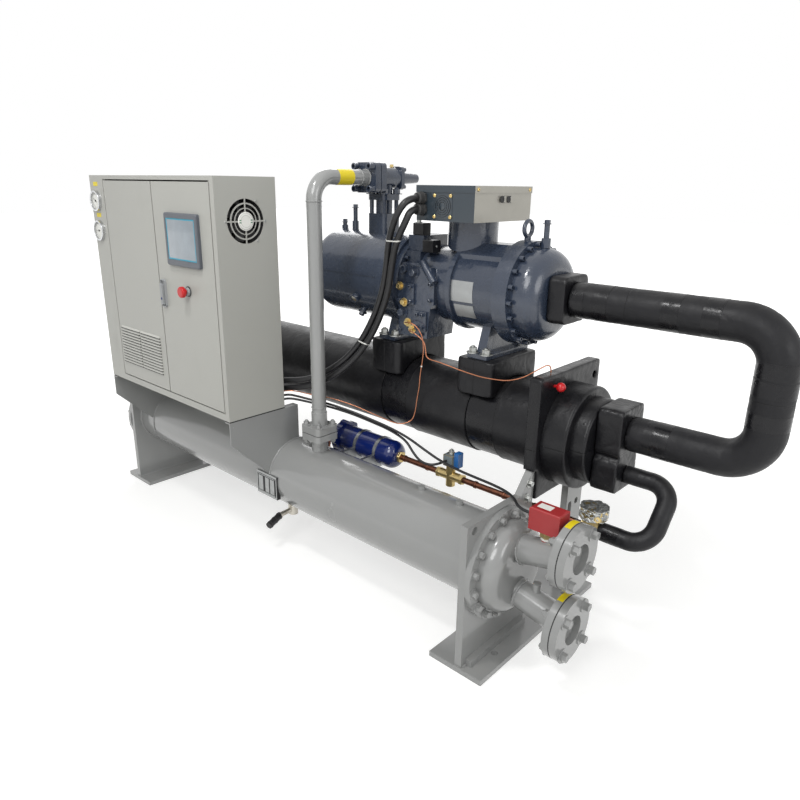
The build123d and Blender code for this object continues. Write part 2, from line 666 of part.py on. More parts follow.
with BuildPart() as latch_lever:
    block((HANDLE_X - LEVER_WIDTH / 2, HANDLE_X + LEVER_WIDTH / 2),
          (lever_axis_y - LEVER_RISE, lever_axis_y + pocket_depth - LEVER_GAP), (lever_low, lever_top))
    fillet(latch_lever.edges().filter_by(Axis.X), 3)
    rod((HANDLE_X - LEVER_WIDTH / 2 - LEVER_GAP, lever_axis_y + 2, lever_top - 5),
        (HANDLE_X + LEVER_WIDTH / 2 + LEVER_GAP, lever_axis_y + 2, lever_top - 5), 1.8)
save(latch_lever, "latch_lever")

# Emergency stop: a grey collar, and the mushroom head that is pushed in
collar_face = CABINET_FRONT - ESTOP_COLLAR_RISE
head_back = collar_face - ESTOP_TRAVEL - ESTOP_HEAD_CLEAR
with BuildPart() as stop_collar:
    rod((ESTOP_X, collar_face, ESTOP_Z), (ESTOP_X, CABINET_FRONT, ESTOP_Z), ESTOP_COLLAR_R)
    rod((ESTOP_X, collar_face, ESTOP_Z), (ESTOP_X, CABINET_FRONT, ESTOP_Z), estop_seat_r, Mode.SUBTRACT)
save(stop_collar, "stop_collar")

with BuildPart() as stop_button:
    rod((ESTOP_X, head_back, ESTOP_Z), (ESTOP_X, CABINET_FRONT + SHEET_STEEL, ESTOP_Z), ESTOP_STEM_R)
    rod((ESTOP_X, head_back - ESTOP_HEAD_THICK, ESTOP_Z), (ESTOP_X, head_back, ESTOP_Z), ESTOP_HEAD_R)
    fillet(stop_button.faces().sort_by(Axis.Y)[0].edges(), 5)
save(stop_button, "stop_button")

# Pressure gauges, set through the left margin of the front
with BuildPart() as pressure_gauges:
    for gauge_z in GAUGE_Z:
        rod((gauge_x, CABINET_FRONT - GAUGE_RISE, gauge_z), (gauge_x, CABINET_FRONT, gauge_z), GAUGE_R)
        rod((gauge_x, CABINET_FRONT - GAUGE_RISE, gauge_z),
            (gauge_x, CABINET_FRONT - GAUGE_RISE + 6, gauge_z), GAUGE_R - 6, Mode.SUBTRACT)
        rod((gauge_x, CABINET_FRONT, gauge_z), (gauge_x, CABINET_FRONT + GAUGE_CAN_DEPTH, gauge_z), GAUGE_CAN_R)
save(pressure_gauges, "pressure_gauges")

# Cabinet fan: a round frame with struts and shaft behind the guard, and its rotor
fan_face = inner_x[1]
fan_back = fan_face - FAN_DEPTH
rotor_front = fan_face - FAN_CLEAR
rotor_back = fan_back + FAN_STRUT + FAN_CLEAR
fan_spin = Plane(origin=(fan_back, GUARD_Y, GUARD_Z), x_dir=(0, 1, 0), z_dir=(1, 0, 0))
with BuildPart() as fan_frame:
    rod((fan_back, GUARD_Y, GUARD_Z), (fan_face, GUARD_Y, GUARD_Z), FAN_FRAME_R)
    rod((fan_back, GUARD_Y, GUARD_Z), (fan_face, GUARD_Y, GUARD_Z), FAN_BORE_R, Mode.SUBTRACT)
    with BuildSketch(fan_spin):
        Circle(FAN_HUB_R)
        with PolarLocations((FAN_HUB_R + FAN_BORE_R) / 2, 3, start_angle=90):
            Rectangle(FAN_BORE_R - FAN_HUB_R + 4, FAN_STRUT)
    extrude(amount=FAN_STRUT)
    rod((fan_back, GUARD_Y, GUARD_Z), (rotor_front - FAN_STRUT, GUARD_Y, GUARD_Z), FAN_SHAFT_R)
save(fan_frame, "fan_frame")

with BuildPart() as fan_rotor:
    rod((rotor_back, GUARD_Y, GUARD_Z), (rotor_front, GUARD_Y, GUARD_Z), FAN_HUB_R)
    blade_reach = FAN_BORE_R - FAN_CLEAR
    blade_x = (rotor_back + rotor_front) / 2
    for turn in range(FAN_BLADES):
        with Locations(Plane(origin=(blade_x, GUARD_Y, GUARD_Z), x_dir=(0, 1, 0), z_dir=(1, 0, 0))
                       * Location((0, 0, 0), (0, 0, 360 * turn / FAN_BLADES))):
            with Locations(Location(((FAN_HUB_R + blade_reach) / 2 - 2, 0, 0), (FAN_BLADE_PITCH, 0, 0))):
                Box(blade_reach - FAN_HUB_R, 30, FAN_BLADE_THICK)
    rod((rotor_back, GUARD_Y, GUARD_Z), (rotor_front - FAN_STRUT + FAN_SHAFT_CLEAR, GUARD_Y, GUARD_Z),
        FAN_SHAFT_R + FAN_SHAFT_CLEAR, Mode.SUBTRACT)
save(fan_rotor, "fan_rotor")

# Cabinet brackets: a plate on each side that sits on the vessel, folded in at the top
strip_low = CABINET_BOTTOM - STRIP_THICK
bracket_edges = ((CABINET_RIGHT, -1), (cabinet_left, 1))
bracket_low = strip_low - BRACKET_FRONT_DROP
with BuildPart() as cabinet_brackets:
    for plate_x, inward in bracket_edges:
        with BuildSketch(Plane(origin=(plate_x, 0, 0), x_dir=(0, 1, 0), z_dir=(1, 0, 0))) as side_plate:
            with BuildLine():
                Polyline((CABINET_FRONT, strip_low), (CABINET_FRONT, bracket_low + BRACKET_CORNER),
                         (CABINET_FRONT + BRACKET_CORNER, bracket_low),
                         (CONDENSER_Y - CONDENSER_R - BRACKET_OVERHANG, CONDENSER_Z + BRACKET_ROOT),
                         (CONDENSER_Y, CONDENSER_Z + BRACKET_ROOT),
                         (BRACKET_BACK, CONDENSER_Z + BRACKET_ROOT), (BRACKET_BACK, strip_low), close=True)
            make_face()
            with Locations((CONDENSER_Y, CONDENSER_Z)):
                Circle(CONDENSER_R, mode=Mode.SUBTRACT)
        extrude(side_plate.sketch, amount=inward * BRACKET_THICK)
        block((plate_x, plate_x + inward * BRACKET_LIP), (CABINET_FRONT, BRACKET_BACK),
              (strip_low - BRACKET_THICK, strip_low))
save(cabinet_brackets, "cabinet_brackets")

with BuildPart() as rubber_strips:
    for plate_x, inward in bracket_edges:
        block((plate_x, plate_x + inward * STRIP_WIDTH), (CABINET_FRONT + SHEET_STEEL, cabinet_back),
              (strip_low, CABINET_BOTTOM))
save(rubber_strips, "rubber_strips")

# Bare plate frame, curved side against the vessel
with BuildPart() as plate_frame:
    frame_y = CONDENSER_Y - CONDENSER_R
    block((NAME_FRAME_X - NAME_FRAME_WIDTH / 2, NAME_FRAME_X + NAME_FRAME_WIDTH / 2),
          (frame_y - NAME_FRAME_THICK, frame_y + 12),
          (NAME_FRAME_Z - NAME_FRAME_HEIGHT / 2, NAME_FRAME_Z + NAME_FRAME_HEIGHT / 2))
    rod((NAME_FRAME_X - NAME_FRAME_WIDTH, CONDENSER_Y, CONDENSER_Z),
        (NAME_FRAME_X + NAME_FRAME_WIDTH, CONDENSER_Y, CONDENSER_Z), CONDENSER_R, Mode.SUBTRACT)
save(plate_frame, "plate_frame")

# Discharge line: square flange pair on the vessel, pipe up, and over to the stop valve
flange_top = flange_mid + GASKET_THICK + SQUARE_FLANGE_THICK
with BuildPart() as square_flanges:
    rod((DISCHARGE_X, CONDENSER_Y, CONDENSER_Z), (DISCHARGE_X, CONDENSER_Y, SQUARE_FLANGE_LOW), STUB_R)
    rod((-SHEET_INNER_X, CONDENSER_Y, CONDENSER_Z), (SHEET_INNER_X, CONDENSER_Y, CONDENSER_Z),
        CONDENSER_R, Mode.SUBTRACT)
    for low in (SQUARE_FLANGE_LOW, flange_mid + GASKET_THICK):
        with BuildSketch(Plane.XY.offset(low)) as square:
            with Locations((DISCHARGE_X, CONDENSER_Y)):
                RectangleRounded(SQUARE_FLANGE, SQUARE_FLANGE, SQUARE_CORNER)
        extrude(square.sketch, amount=SQUARE_FLANGE_THICK)
save(square_flanges, "square_flanges")

with BuildPart() as discharge_pipe:
    with BuildLine() as discharge_path:
        FilletPolyline((DISCHARGE_X, CONDENSER_Y, flange_top), (DISCHARGE_X, CONDENSER_Y, DISCHARGE_Z),
                       (DISCHARGE_X, PORT_FLANGE_Y, DISCHARGE_Z), radius=DISCHARGE_BEND)
    with BuildSketch(Plane.XY.offset(flange_top)):
        with Locations((DISCHARGE_X, CONDENSER_Y)):
            Circle(DISCHARGE_R)
    sweep(path=discharge_path.line)
    rod((DISCHARGE_X, CONDENSER_Y, flange_top), (DISCHARGE_X, CONDENSER_Y, WELD_NECK_TOP), WELD_NECK_R)
save(discharge_pipe, "discharge_pipe")

# Discharge stop valve: port flanges to the front, bonnet and spindle cap to the back,
# and a stem with four studs down to the base on the oil separator
base_low = COMPRESSOR_Z + SEPARATOR_R * cos(radians(20))
bonnet_y = COMPRESSOR_Y + PORT_FLANGE / 2
with BuildPart() as discharge_valve:
    port_faces = (PORT_FLANGE_Y, PORT_FLANGE_Y + PORT_FLANGE_THICK + GASKET_THICK)
    for start, size, thick in ((port_faces[0], PORT_FLANGE, PORT_FLANGE_THICK),
                               (port_faces[1], PORT_FLANGE, PORT_FLANGE_THICK),
                               (bonnet_y, BONNET, BONNET_THICK)):
        with BuildSketch(Plane(origin=(DISCHARGE_X, start, DISCHARGE_Z), x_dir=(1, 0, 0), z_dir=(0, 1, 0))) as port:
            RectangleRounded(size, size, SQUARE_CORNER)
        extrude(port.sketch, amount=thick)
    rod((DISCHARGE_X, PORT_FLANGE_Y, DISCHARGE_Z), (DISCHARGE_X, VALVE_BODY_BACK, DISCHARGE_Z), VALVE_BODY_R)
    cap_length = SPINDLE_CAP_END - VALVE_BODY_BACK
    with Locations(Plane(origin=(DISCHARGE_X, VALVE_BODY_BACK, DISCHARGE_Z), z_dir=(0, 1, 0))):
        Cone(SPINDLE_CAP_R, SPINDLE_CAP_TIP_R, cap_length, align=(Align.CENTER, Align.CENTER, Align.MIN))
    rod((DISCHARGE_X, COMPRESSOR_Y, VALVE_BASE_TOP), (DISCHARGE_X, COMPRESSOR_Y, DISCHARGE_Z), VALVE_STEM_R)
    for low, high in ((base_low, VALVE_BASE_TOP), (VALVE_PLATE_LOW, VALVE_PLATE_TOP)):
        with BuildSketch(Plane.XY.offset(low)) as plate:
            with Locations((DISCHARGE_X, COMPRESSOR_Y)):
                RectangleRounded(VALVE_PLATE, VALVE_PLATE, SQUARE_CORNER)
        extrude(plate.sketch, amount=high - low)
    with Locations((DISCHARGE_X, COMPRESSOR_Y, VALVE_BASE_TOP)):
        with GridLocations(VALVE_STUD_SPACING, VALVE_STUD_SPACING, 2, 2):
            Cylinder(VALVE_STUD_R, VALVE_PLATE_LOW - VALVE_BASE_TOP, align=(Align.CENTER, Align.CENTER, Align.MIN))
    rod((SEPARATOR_START, COMPRESSOR_Y, COMPRESSOR_Z), (SEPARATOR_END, COMPRESSOR_Y, COMPRESSOR_Z),
        SEPARATOR_R, Mode.SUBTRACT)
save(discharge_valve, "discharge_valve")


def turned(points, mode=Mode.ADD):
    """A casting turned about the compressor's axis, from its outline along X."""
    with BuildSketch(Plane(origin=(0, COMPRESSOR_Y, 0), x_dir=(1, 0, 0), z_dir=(0, -1, 0))) as outline:
        with BuildLine():
            Polyline(*[(x, COMPRESSOR_Z + r) for x, r in points], close=True)
        make_face()
    revolve(outline.sketch, axis=Axis((0, COMPRESSOR_Y, COMPRESSOR_Z), (1, 0, 0)), mode=mode)


def radial_boss(x, angle, reach, radius):
    """A round boss standing out from the compressor's axis, at an angle from straight up to the front."""
    rod((x, COMPRESSOR_Y, COMPRESSOR_Z),
        (x, COMPRESSOR_Y - reach * sin(radians(angle)), COMPRESSOR_Z + reach * cos(radians(angle))), radius)


# Oil separator: the wide drum at the discharge end, dished at its far end
with BuildPart() as oil_separator:
    turned([(SEPARATOR_START, 0), (SEPARATOR_START, SEPARATOR_R), (SEPARATOR_FLANGE_START, SEPARATOR_R),
            (SEPARATOR_FLANGE_START, SEPARATOR_FLANGE_R), (SEPARATOR_END, SEPARATOR_FLANGE_R), (SEPARATOR_END, 0)])
    fillet(oil_separator.edges().filter_by(GeomType.CIRCLE).sort_by(Axis.X)[0], SEPARATOR_ROUND)
    block((SEPARATOR_START + SEPARATOR_ROUND, SEPARATOR_FLANGE_START),
          (COMPRESSOR_Y - SEPARATOR_R - SEAM_RISE, COMPRESSOR_Y + SEPARATOR_R + SEAM_RISE),
          (SEAM_Z - SEAM_WIDTH / 2, SEAM_Z + SEAM_WIDTH / 2))
    radial_boss(SIGHT_X, SIGHT_ANGLE, SEPARATOR_FLANGE_R, SIGHT_R)
    radial_boss(SIGHT_X, DRAIN_ANGLE, SEPARATOR_FLANGE_R + 2 * SEAM_RISE, DRAIN_R)
save(oil_separator, "oil_separator")

# Compressor body: the rotor casing between two flanges, with its control blocks on the front side
body_end = SEPARATOR_END + BODY_FLANGE_THICK
with BuildPart() as compressor_body:
    turned([(SEPARATOR_END, 0), (SEPARATOR_END, BODY_FLANGE_R), (body_end, BODY_FLANGE_R), (body_end, BODY_R),
            (MOTOR_START - MOTOR_RING_THICK, BODY_R), (MOTOR_START - MOTOR_RING_THICK, MOTOR_RING_R),
            (MOTOR_START, MOTOR_RING_R), (MOTOR_START, 0)])
    with BuildSketch(Plane(origin=(0, COMPRESSOR_Y, 0), x_dir=(1, 0, 0), z_dir=(0, -1, 0))) as control_block:
        with BuildLine():
            Polyline((body_end, CONTROL_LOW), (CONTROL_FOOT_X, CONTROL_LOW), (CONTROL_FOOT_X + 12, CONTROL_NOSE_LOW - 15),
                     (CONTROL_NOSE_X, CONTROL_NOSE_LOW), (CONTROL_NOSE_X, CONTROL_NOSE_TOP),
                     (CONTROL_NOSE_X - 18, CONTROL_TOP), (body_end, CONTROL_TOP), close=True)
        make_face()
    extrude(control_block.sketch, amount=COMPRESSOR_Y - BODY_FACE_Y)
    block(UPPER_PAD_X, (BODY_FACE_Y - PAD_RISE, COMPRESSOR_Y), UPPER_PAD_Z)
    block(LOWER_PAD_X, (BODY_FACE_Y - PAD_RISE, COMPRESSOR_Y), LOWER_PAD_Z)
    block((body_end - 2, MANIFOLD_END), (COMPRESSOR_Y - SHELF_HALF - 15, COMPRESSOR_Y),
          (COMPRESSOR_Z, MANIFOLD_TOP - MANIFOLD_STEP))
    block((body_end - 2, MANIFOLD_END), (COMPRESSOR_Y - SHELF_HALF, COMPRESSOR_Y + RIDGE_HALF),
          (COMPRESSOR_Z, MANIFOLD_TOP))
    coil_z = MANIFOLD_TOP - MANIFOLD_STEP
    coil_y = COMPRESSOR_Y - SHELF_HALF - COIL_SIZE / 2
    stem_y = COMPRESSOR_Y - SHELF_HALF + COIL_STEM_R
    rod((MANIFOLD_END, stem_y, coil_z + COIL_SIZE / 2),
        (MANIFOLD_END + COIL_STEM, stem_y, coil_z + COIL_SIZE / 2), COIL_STEM_R)
    rod((SLIDE_START[0], BODY_FACE_Y + 10, SLIDE_START[1]), (SLIDE_END[0], BODY_FACE_Y - 2, SLIDE_END[1]), SLIDE_R)
save(compressor_body, "compressor_body")

# Motor housing: main flange, a raised shelf under the ridge, and the neck for the terminal box
with BuildPart() as motor_housing:
    turned([(MOTOR_START, 0), (MOTOR_START, MOTOR_R), (MAIN_FLANGE_START, MOTOR_R),
            (MAIN_FLANGE_START, MAIN_FLANGE_R), (MAIN_FLANGE_SPLIT, MAIN_FLANGE_R), (MAIN_FLANGE_SPLIT, 0)])
    profile_x((MOTOR_START, MAIN_FLANGE_START),
              [(COMPRESSOR_Y - SHELF_HALF, COMPRESSOR_Z), (COMPRESSOR_Y - SHELF_HALF, SHELF_EDGE_Z),
               (COMPRESSOR_Y - RIDGE_HALF, RIDGE_Z), (COMPRESSOR_Y + RIDGE_HALF, RIDGE_Z),
               (COMPRESSOR_Y + SHELF_HALF, SHELF_EDGE_Z), (COMPRESSOR_Y + SHELF_HALF, COMPRESSOR_Z)])
    rod((TERMINAL_X, COMPRESSOR_Y, COMPRESSOR_Z), (TERMINAL_X, COMPRESSOR_Y, TERMINAL_LOW), TERMINAL_NECK_R)
    rod((SEPARATOR_END, COMPRESSOR_Y, COMPRESSOR_Z), (MOTOR_START, COMPRESSOR_Y, COMPRESSOR_Z),
        MOTOR_RING_R, Mode.SUBTRACT)
save(motor_housing, "motor_housing")

# Motor end cover: a deep dome bolted to the main flange
with BuildPart() as motor_end_cover:
    turned([(MAIN_FLANGE_SPLIT, 0), (MAIN_FLANGE_SPLIT, MAIN_FLANGE_R), (MAIN_FLANGE_END, MAIN_FLANGE_R),
            (MAIN_FLANGE_END, END_COVER_R), (END_COVER_END, END_COVER_R), (END_COVER_END, 0)])
    fillet(motor_end_cover.edges().filter_by(GeomType.CIRCLE).sort_by(Axis.X)[-1], END_COVER_ROUND)
save(motor_end_cover, "motor_end_cover")

# Terminal box with its lid, the cable glands in front and two blanking plugs beside
terminal_x = (TERMINAL_X - TERMINAL_WIDTH / 2, TERMINAL_X + TERMINAL_WIDTH / 2)
terminal_y = (COMPRESSOR_Y - TERMINAL_DEPTH / 2, COMPRESSOR_Y + TERMINAL_DEPTH / 2)
box_x = (terminal_x[0] + TERMINAL_SHEET, terminal_x[1] - TERMINAL_SHEET)
box_y = (terminal_y[0] + TERMINAL_SHEET, terminal_y[1] - TERMINAL_SHEET)
with BuildPart() as terminal_box:
    block(box_x, box_y, (TERMINAL_LOW, TERMINAL_TOP - TERMINAL_SHEET))
    for gland_z in GLAND_Z:
        rod((GLAND_X, box_y[0], gland_z), (GLAND_X, box_y[0] - GLAND_REACH, gland_z), GLAND_R)
    for plug_y in BOX_PLUG_Y:
        rod((box_x[1], plug_y, BOX_PLUG_Z), (box_x[1] + 2 * TERMINAL_SHEET, plug_y, BOX_PLUG_Z), BOX_PLUG_R)
save(terminal_box, "terminal_box")

with BuildPart() as terminal_lid:
    block(terminal_x, terminal_y, (TERMINAL_TOP - TERMINAL_LID, TERMINAL_TOP))
    block(box_x, box_y, (TERMINAL_TOP - TERMINAL_LID, TERMINAL_TOP - TERMINAL_SHEET), Mode.SUBTRACT)
save(terminal_lid, "terminal_lid")

# Lifting eye on the main flange, and the service valves and plugs on the castings
eye_x = (MAIN_FLANGE_START + MAIN_FLANGE_SPLIT) / 2
eye_foot = COMPRESSOR_Z + MAIN_FLANGE_R
service_low = COMPRESSOR_Z + SEPARATOR_R
with BuildPart() as compressor_fittings:
    with Locations(Plane(origin=(eye_x, COMPRESSOR_Y, eye_foot + EYE_RISE), x_dir=(0, 1, 0), z_dir=(1, 0, 0))):
        Torus(EYE_R, EYE_BAR_R)
    rod((eye_x, COMPRESSOR_Y, eye_foot), (eye_x, COMPRESSOR_Y, eye_foot + EYE_RISE - EYE_R), EYE_BAR_R + 4)
    for fitting_x, collar_top, fitting_top in ((26, 1290, 1340), (-35, 1272, 1282)):
        rod((fitting_x, COMPRESSOR_Y, service_low), (fitting_x, COMPRESSOR_Y, collar_top), SERVICE_VALVE_R + 4)
        rod((fitting_x, COMPRESSOR_Y, service_low), (fitting_x, COMPRESSOR_Y, fitting_top), SERVICE_VALVE_R)
    cover_top = COMPRESSOR_Z + END_COVER_R
    rod((895, COMPRESSOR_Y, cover_top), (895, COMPRESSOR_Y, cover_top + 30), SERVICE_VALVE_R + 6)
    rod((895, COMPRESSOR_Y, cover_top), (895, COMPRESSOR_Y, 1318), SERVICE_VALVE_R)
save(compressor_fittings, "compressor_fittings")

# Coils of the compressor's control valves, one beside the manifold on its stem and one on top
with BuildPart() as solenoid_coils:
    block((MANIFOLD_END + COIL_STEM, MANIFOLD_END + COIL_STEM + COIL_LENGTH),
          (coil_y, coil_y + COIL_SIZE), (coil_z, coil_z + COIL_SIZE))
    block((MANIFOLD_END - COIL_LENGTH - 4, MANIFOLD_END - 4),
          (COMPRESSOR_Y - SHELF_HALF, COMPRESSOR_Y - SHELF_HALF + COIL_SIZE),
          (MANIFOLD_TOP, MANIFOLD_TOP + COIL_SIZE))
    fillet(solenoid_coils.edges().filter_by(Axis.X), 4)
save(solenoid_coils, "solenoid_coils")

# Compressor feet, and the insulated seats that carry them on the evaporator
pad_top = SUPPORT_TOP + FOOT_PAD_THICK
with BuildPart() as compressor_feet:
    for centre_x in SUPPORT_X:
        block((centre_x - FOOT_PAD_LENGTH / 2, centre_x + FOOT_PAD_LENGTH / 2),
              (COMPRESSOR_Y - FOOT_PAD_WIDTH / 2, COMPRESSOR_Y + FOOT_PAD_WIDTH / 2), (SUPPORT_TOP, pad_top))
        profile_x((centre_x - FOOT_WEB / 2, centre_x + FOOT_WEB / 2),
                  [(COMPRESSOR_Y - 105, pad_top), (COMPRESSOR_Y - 70, 1000),
                   (COMPRESSOR_Y + 70, 1000), (COMPRESSOR_Y + 105, pad_top)])
    rod((SEPARATOR_START, COMPRESSOR_Y, COMPRESSOR_Z), (SEPARATOR_END, COMPRESSOR_Y, COMPRESSOR_Z),
        SEPARATOR_FLANGE_R, Mode.SUBTRACT)
    rod((MOTOR_START, COMPRESSOR_Y, COMPRESSOR_Z), (MAIN_FLANGE_START, COMPRESSOR_Y, COMPRESSOR_Z),
        MOTOR_R, Mode.SUBTRACT)
save(compressor_feet, "compressor_feet")

plate_inner_x = SHEET_INNER_X - PLATE_WRAP
plate_outer_x = SHEET_OUTER_X + PLATE_WRAP


def wrapped_vessel(mode=Mode.ADD):
    """The insulated evaporator, with its wrap in wider and narrower lengths."""
    edges = (-plate_inner_x,) + WRAP_EDGES + (plate_inner_x,)
    for count, (start, end) in enumerate(zip(edges, edges[1:])):
        rod((start, EVAPORATOR_Y, EVAPORATOR_Z), (end, EVAPORATOR_Y, EVAPORATOR_Z),
            EVAPORATOR_R - WRAP_STEP * (count % 2), mode)


with BuildPart() as compressor_seats:
    for centre_x in SUPPORT_X:
        block((centre_x - SUPPORT_LENGTH / 2, centre_x + SUPPORT_LENGTH / 2),
              (EVAPORATOR_Y - SUPPORT_WIDTH / 2, EVAPORATOR_Y + SUPPORT_WIDTH / 2),
              (EVAPORATOR_Z + 95, SUPPORT_TOP))
    fillet(compressor_seats.edges().filter_by(Axis.Z), SUPPORT_ROUND)
    wrapped_vessel(Mode.SUBTRACT)
save(compressor_seats, "compressor_seats")

# Evaporator vessel, and its two water connections at the back
nozzle_face_y = EVAPORATOR_Y + WATER_NOZZLE_REACH
with BuildPart() as evaporator_shell:
    wrapped_vessel()
    rod((-plate_inner_x, EVAPORATOR_Y, EVAPORATOR_Z), (plate_inner_x, EVAPORATOR_Y, EVAPORATOR_Z),
        EVAPORATOR_BORE_R, Mode.SUBTRACT)
    for nozzle_x in (-WATER_NOZZLE_X, WATER_NOZZLE_X):
        rod((nozzle_x, EVAPORATOR_Y, EVAPORATOR_Z), (nozzle_x, nozzle_face_y, EVAPORATOR_Z), NOZZLE_R, Mode.SUBTRACT)
save(evaporator_shell, "evaporator_shell")

with BuildPart() as evaporator_nozzles:
    for nozzle_x in (-WATER_NOZZLE_X, WATER_NOZZLE_X):
        rod((nozzle_x, EVAPORATOR_Y, EVAPORATOR_Z), (nozzle_x, nozzle_face_y, EVAPORATOR_Z), NOZZLE_R)
        rod((nozzle_x, nozzle_face_y - WATER_FLANGE_THICK, EVAPORATOR_Z),
            (nozzle_x, nozzle_face_y, EVAPORATOR_Z), WATER_FLANGE_R)
        rod((nozzle_x, EVAPORATOR_Y, EVAPORATOR_Z), (nozzle_x, nozzle_face_y, EVAPORATOR_Z),
            NOZZLE_R - NOZZLE_WALL, Mode.SUBTRACT)
    rod((-plate_inner_x, EVAPORATOR_Y, EVAPORATOR_Z), (plate_inner_x, EVAPORATOR_Y, EVAPORATOR_Z),
        EVAPORATOR_BORE_R, Mode.SUBTRACT)
save(evaporator_nozzles, "evaporator_nozzles")

# Wrapped end plates of the evaporator, narrower at the foot where the bracket comes in
with BuildPart() as evaporator_plates:
    for side in (1, -1):
        plate_x = (side * plate_inner_x, side * plate_outer_x)
        block(plate_x, (-PLATE_SIDE_WRAP, SHEET_WIDTH + PLATE_SIDE_WRAP), (BRACKET_TOP, PLATE_TOP))
        block(plate_x, (0, SHEET_WIDTH + PLATE_SIDE_WRAP), (PLATE_LOW, BRACKET_TOP))
    fillet(evaporator_plates.edges().filter_by(Axis.X).group_by(Axis.Z)[-1], PLATE_ROUND)
    hole_y = SHEET_WIDTH - PLATE_HOLE_EDGE
    hole_z = PLATE_TOP - PLATE_HOLE_DROP
    rod((-plate_outer_x, hole_y, hole_z), (plate_outer_x, hole_y, hole_z), PLATE_HOLE_R, Mode.SUBTRACT)
save(evaporator_plates, "evaporator_plates")

# Evaporator supports: a gusset on each condenser tube sheet and a slotted leg at the back
with BuildPart() as evaporator_supports:
    for side in (1, -1):
        sheet_x = (side * SHEET_INNER_X, side * SHEET_OUTER_X)
        profile_x(sheet_x, [(-GUSSET_REACH, SHEET_TOP), (0, SHEET_TOP), (0, BRACKET_TOP),
                            (-PLATE_ROUND, BRACKET_TOP)])
        block(sheet_x, (SHEET_WIDTH - LEG_WIDTH, SHEET_WIDTH), (FOOT_THICK, PLATE_LOW))
    leg_hole_y = SHEET_WIDTH - LEG_HOLE_EDGE
    rod((-SHEET_OUTER_X, leg_hole_y, LEG_HOLE_Z), (SHEET_OUTER_X, leg_hole_y, LEG_HOLE_Z), PLATE_HOLE_R,
        Mode.SUBTRACT)
    with BuildSketch(Plane(origin=(-SHEET_OUTER_X, SHEET_WIDTH - LEG_SLOT_EDGE, LEG_SLOT_Z), x_dir=(0, 1, 0),
                           z_dir=(1, 0, 0))) as slot:
        SlotOverall(LEG_SLOT_LENGTH, LEG_SLOT_WIDTH, rotation=90)
    extrude(slot.sketch, amount=2 * SHEET_OUTER_X, mode=Mode.SUBTRACT)
save(evaporator_supports, "evaporator_supports")

# Evaporator covers: stepped wrapped rings, and the two header boxes on the right one
ring_end = plate_outer_x + RING_DEPTH
with BuildPart() as evaporator_cover_right:
    rod((plate_outer_x, EVAPORATOR_Y, EVAPORATOR_Z), (ring_end, EVAPORATOR_Y, EVAPORATOR_Z), RING_R)
    fillet(evaporator_cover_right.edges().filter_by(GeomType.CIRCLE).sort_by(Axis.X)[-1], WRAP_ROUND)
    rod((ring_end, EVAPORATOR_Y, EVAPORATOR_Z), (ring_end + COLLAR_DEPTH, EVAPORATOR_Y, EVAPORATOR_Z), COLLAR_R)
    fillet(evaporator_cover_right.edges().filter_by(GeomType.CIRCLE).sort_by(Axis.X)[-1], WRAP_ROUND)
save(evaporator_cover_right, "evaporator_cover_right")

with BuildPart() as evaporator_cover_left:
    rod((-plate_outer_x, EVAPORATOR_Y, EVAPORATOR_Z), (-ring_end, EVAPORATOR_Y, EVAPORATOR_Z), RING_R)
    fillet(evaporator_cover_left.edges().filter_by(GeomType.CIRCLE).sort_by(Axis.X)[0], WRAP_ROUND)
save(evaporator_cover_left, "evaporator_cover_left")

header_x = ring_end + COLLAR_DEPTH
header_end = header_x + HEADER_DEPTH
header_y = EVAPORATOR_Y - HEADER_LOWER_SHIFT
with BuildPart() as header_boxes:
    wrapped_box((header_x, header_end), (EVAPORATOR_Y - HEADER_WIDTH / 2, EVAPORATOR_Y + HEADER_WIDTH / 2),
                (HEADER_MIDDLE, HEADER_TOP), HEADER_ROUND)
    wrapped_box((header_x, header_end), (header_y - HEADER_LOWER_WIDTH / 2, header_y + HEADER_LOWER_WIDTH / 2),
                (HEADER_LOW, HEADER_MIDDLE), HEADER_ROUND)
save(header_boxes, "header_boxes")

# Suction valve in its wrapped box, and the insulated suction pipe down to the header
suction_box_x = (END_COVER_END, END_COVER_END + SUCTION_BOX_LENGTH)
with BuildPart() as suction_valve:
    wrapped_box(suction_box_x, (COMPRESSOR_Y - SUCTION_BOX_WIDTH / 2, COMPRESSOR_Y + SUCTION_BOX_WIDTH / 2),
                (COMPRESSOR_Z - SUCTION_BOX_HEIGHT / 2, COMPRESSOR_Z + SUCTION_BOX_HEIGHT / 2), SUCTION_BOX_ROUND)
save(suction_valve, "suction_valve")

with BuildPart() as suction_pipe:
    with BuildLine() as suction_path:
        FilletPolyline((suction_box_x[1], COMPRESSOR_Y, COMPRESSOR_Z), (SUCTION_OUT_X, COMPRESSOR_Y, COMPRESSOR_Z),
                       (SUCTION_OUT_X, COMPRESSOR_Y, SUCTION_LOW_Z), (header_end, COMPRESSOR_Y, SUCTION_LOW_Z),
                       radius=SUCTION_BEND)
    with BuildSketch(Plane(origin=(suction_box_x[1], COMPRESSOR_Y, COMPRESSOR_Z), z_dir=(1, 0, 0))):
        Circle(SUCTION_R)
    sweep(path=suction_path.line)
save(suction_pipe, "suction_pipe")

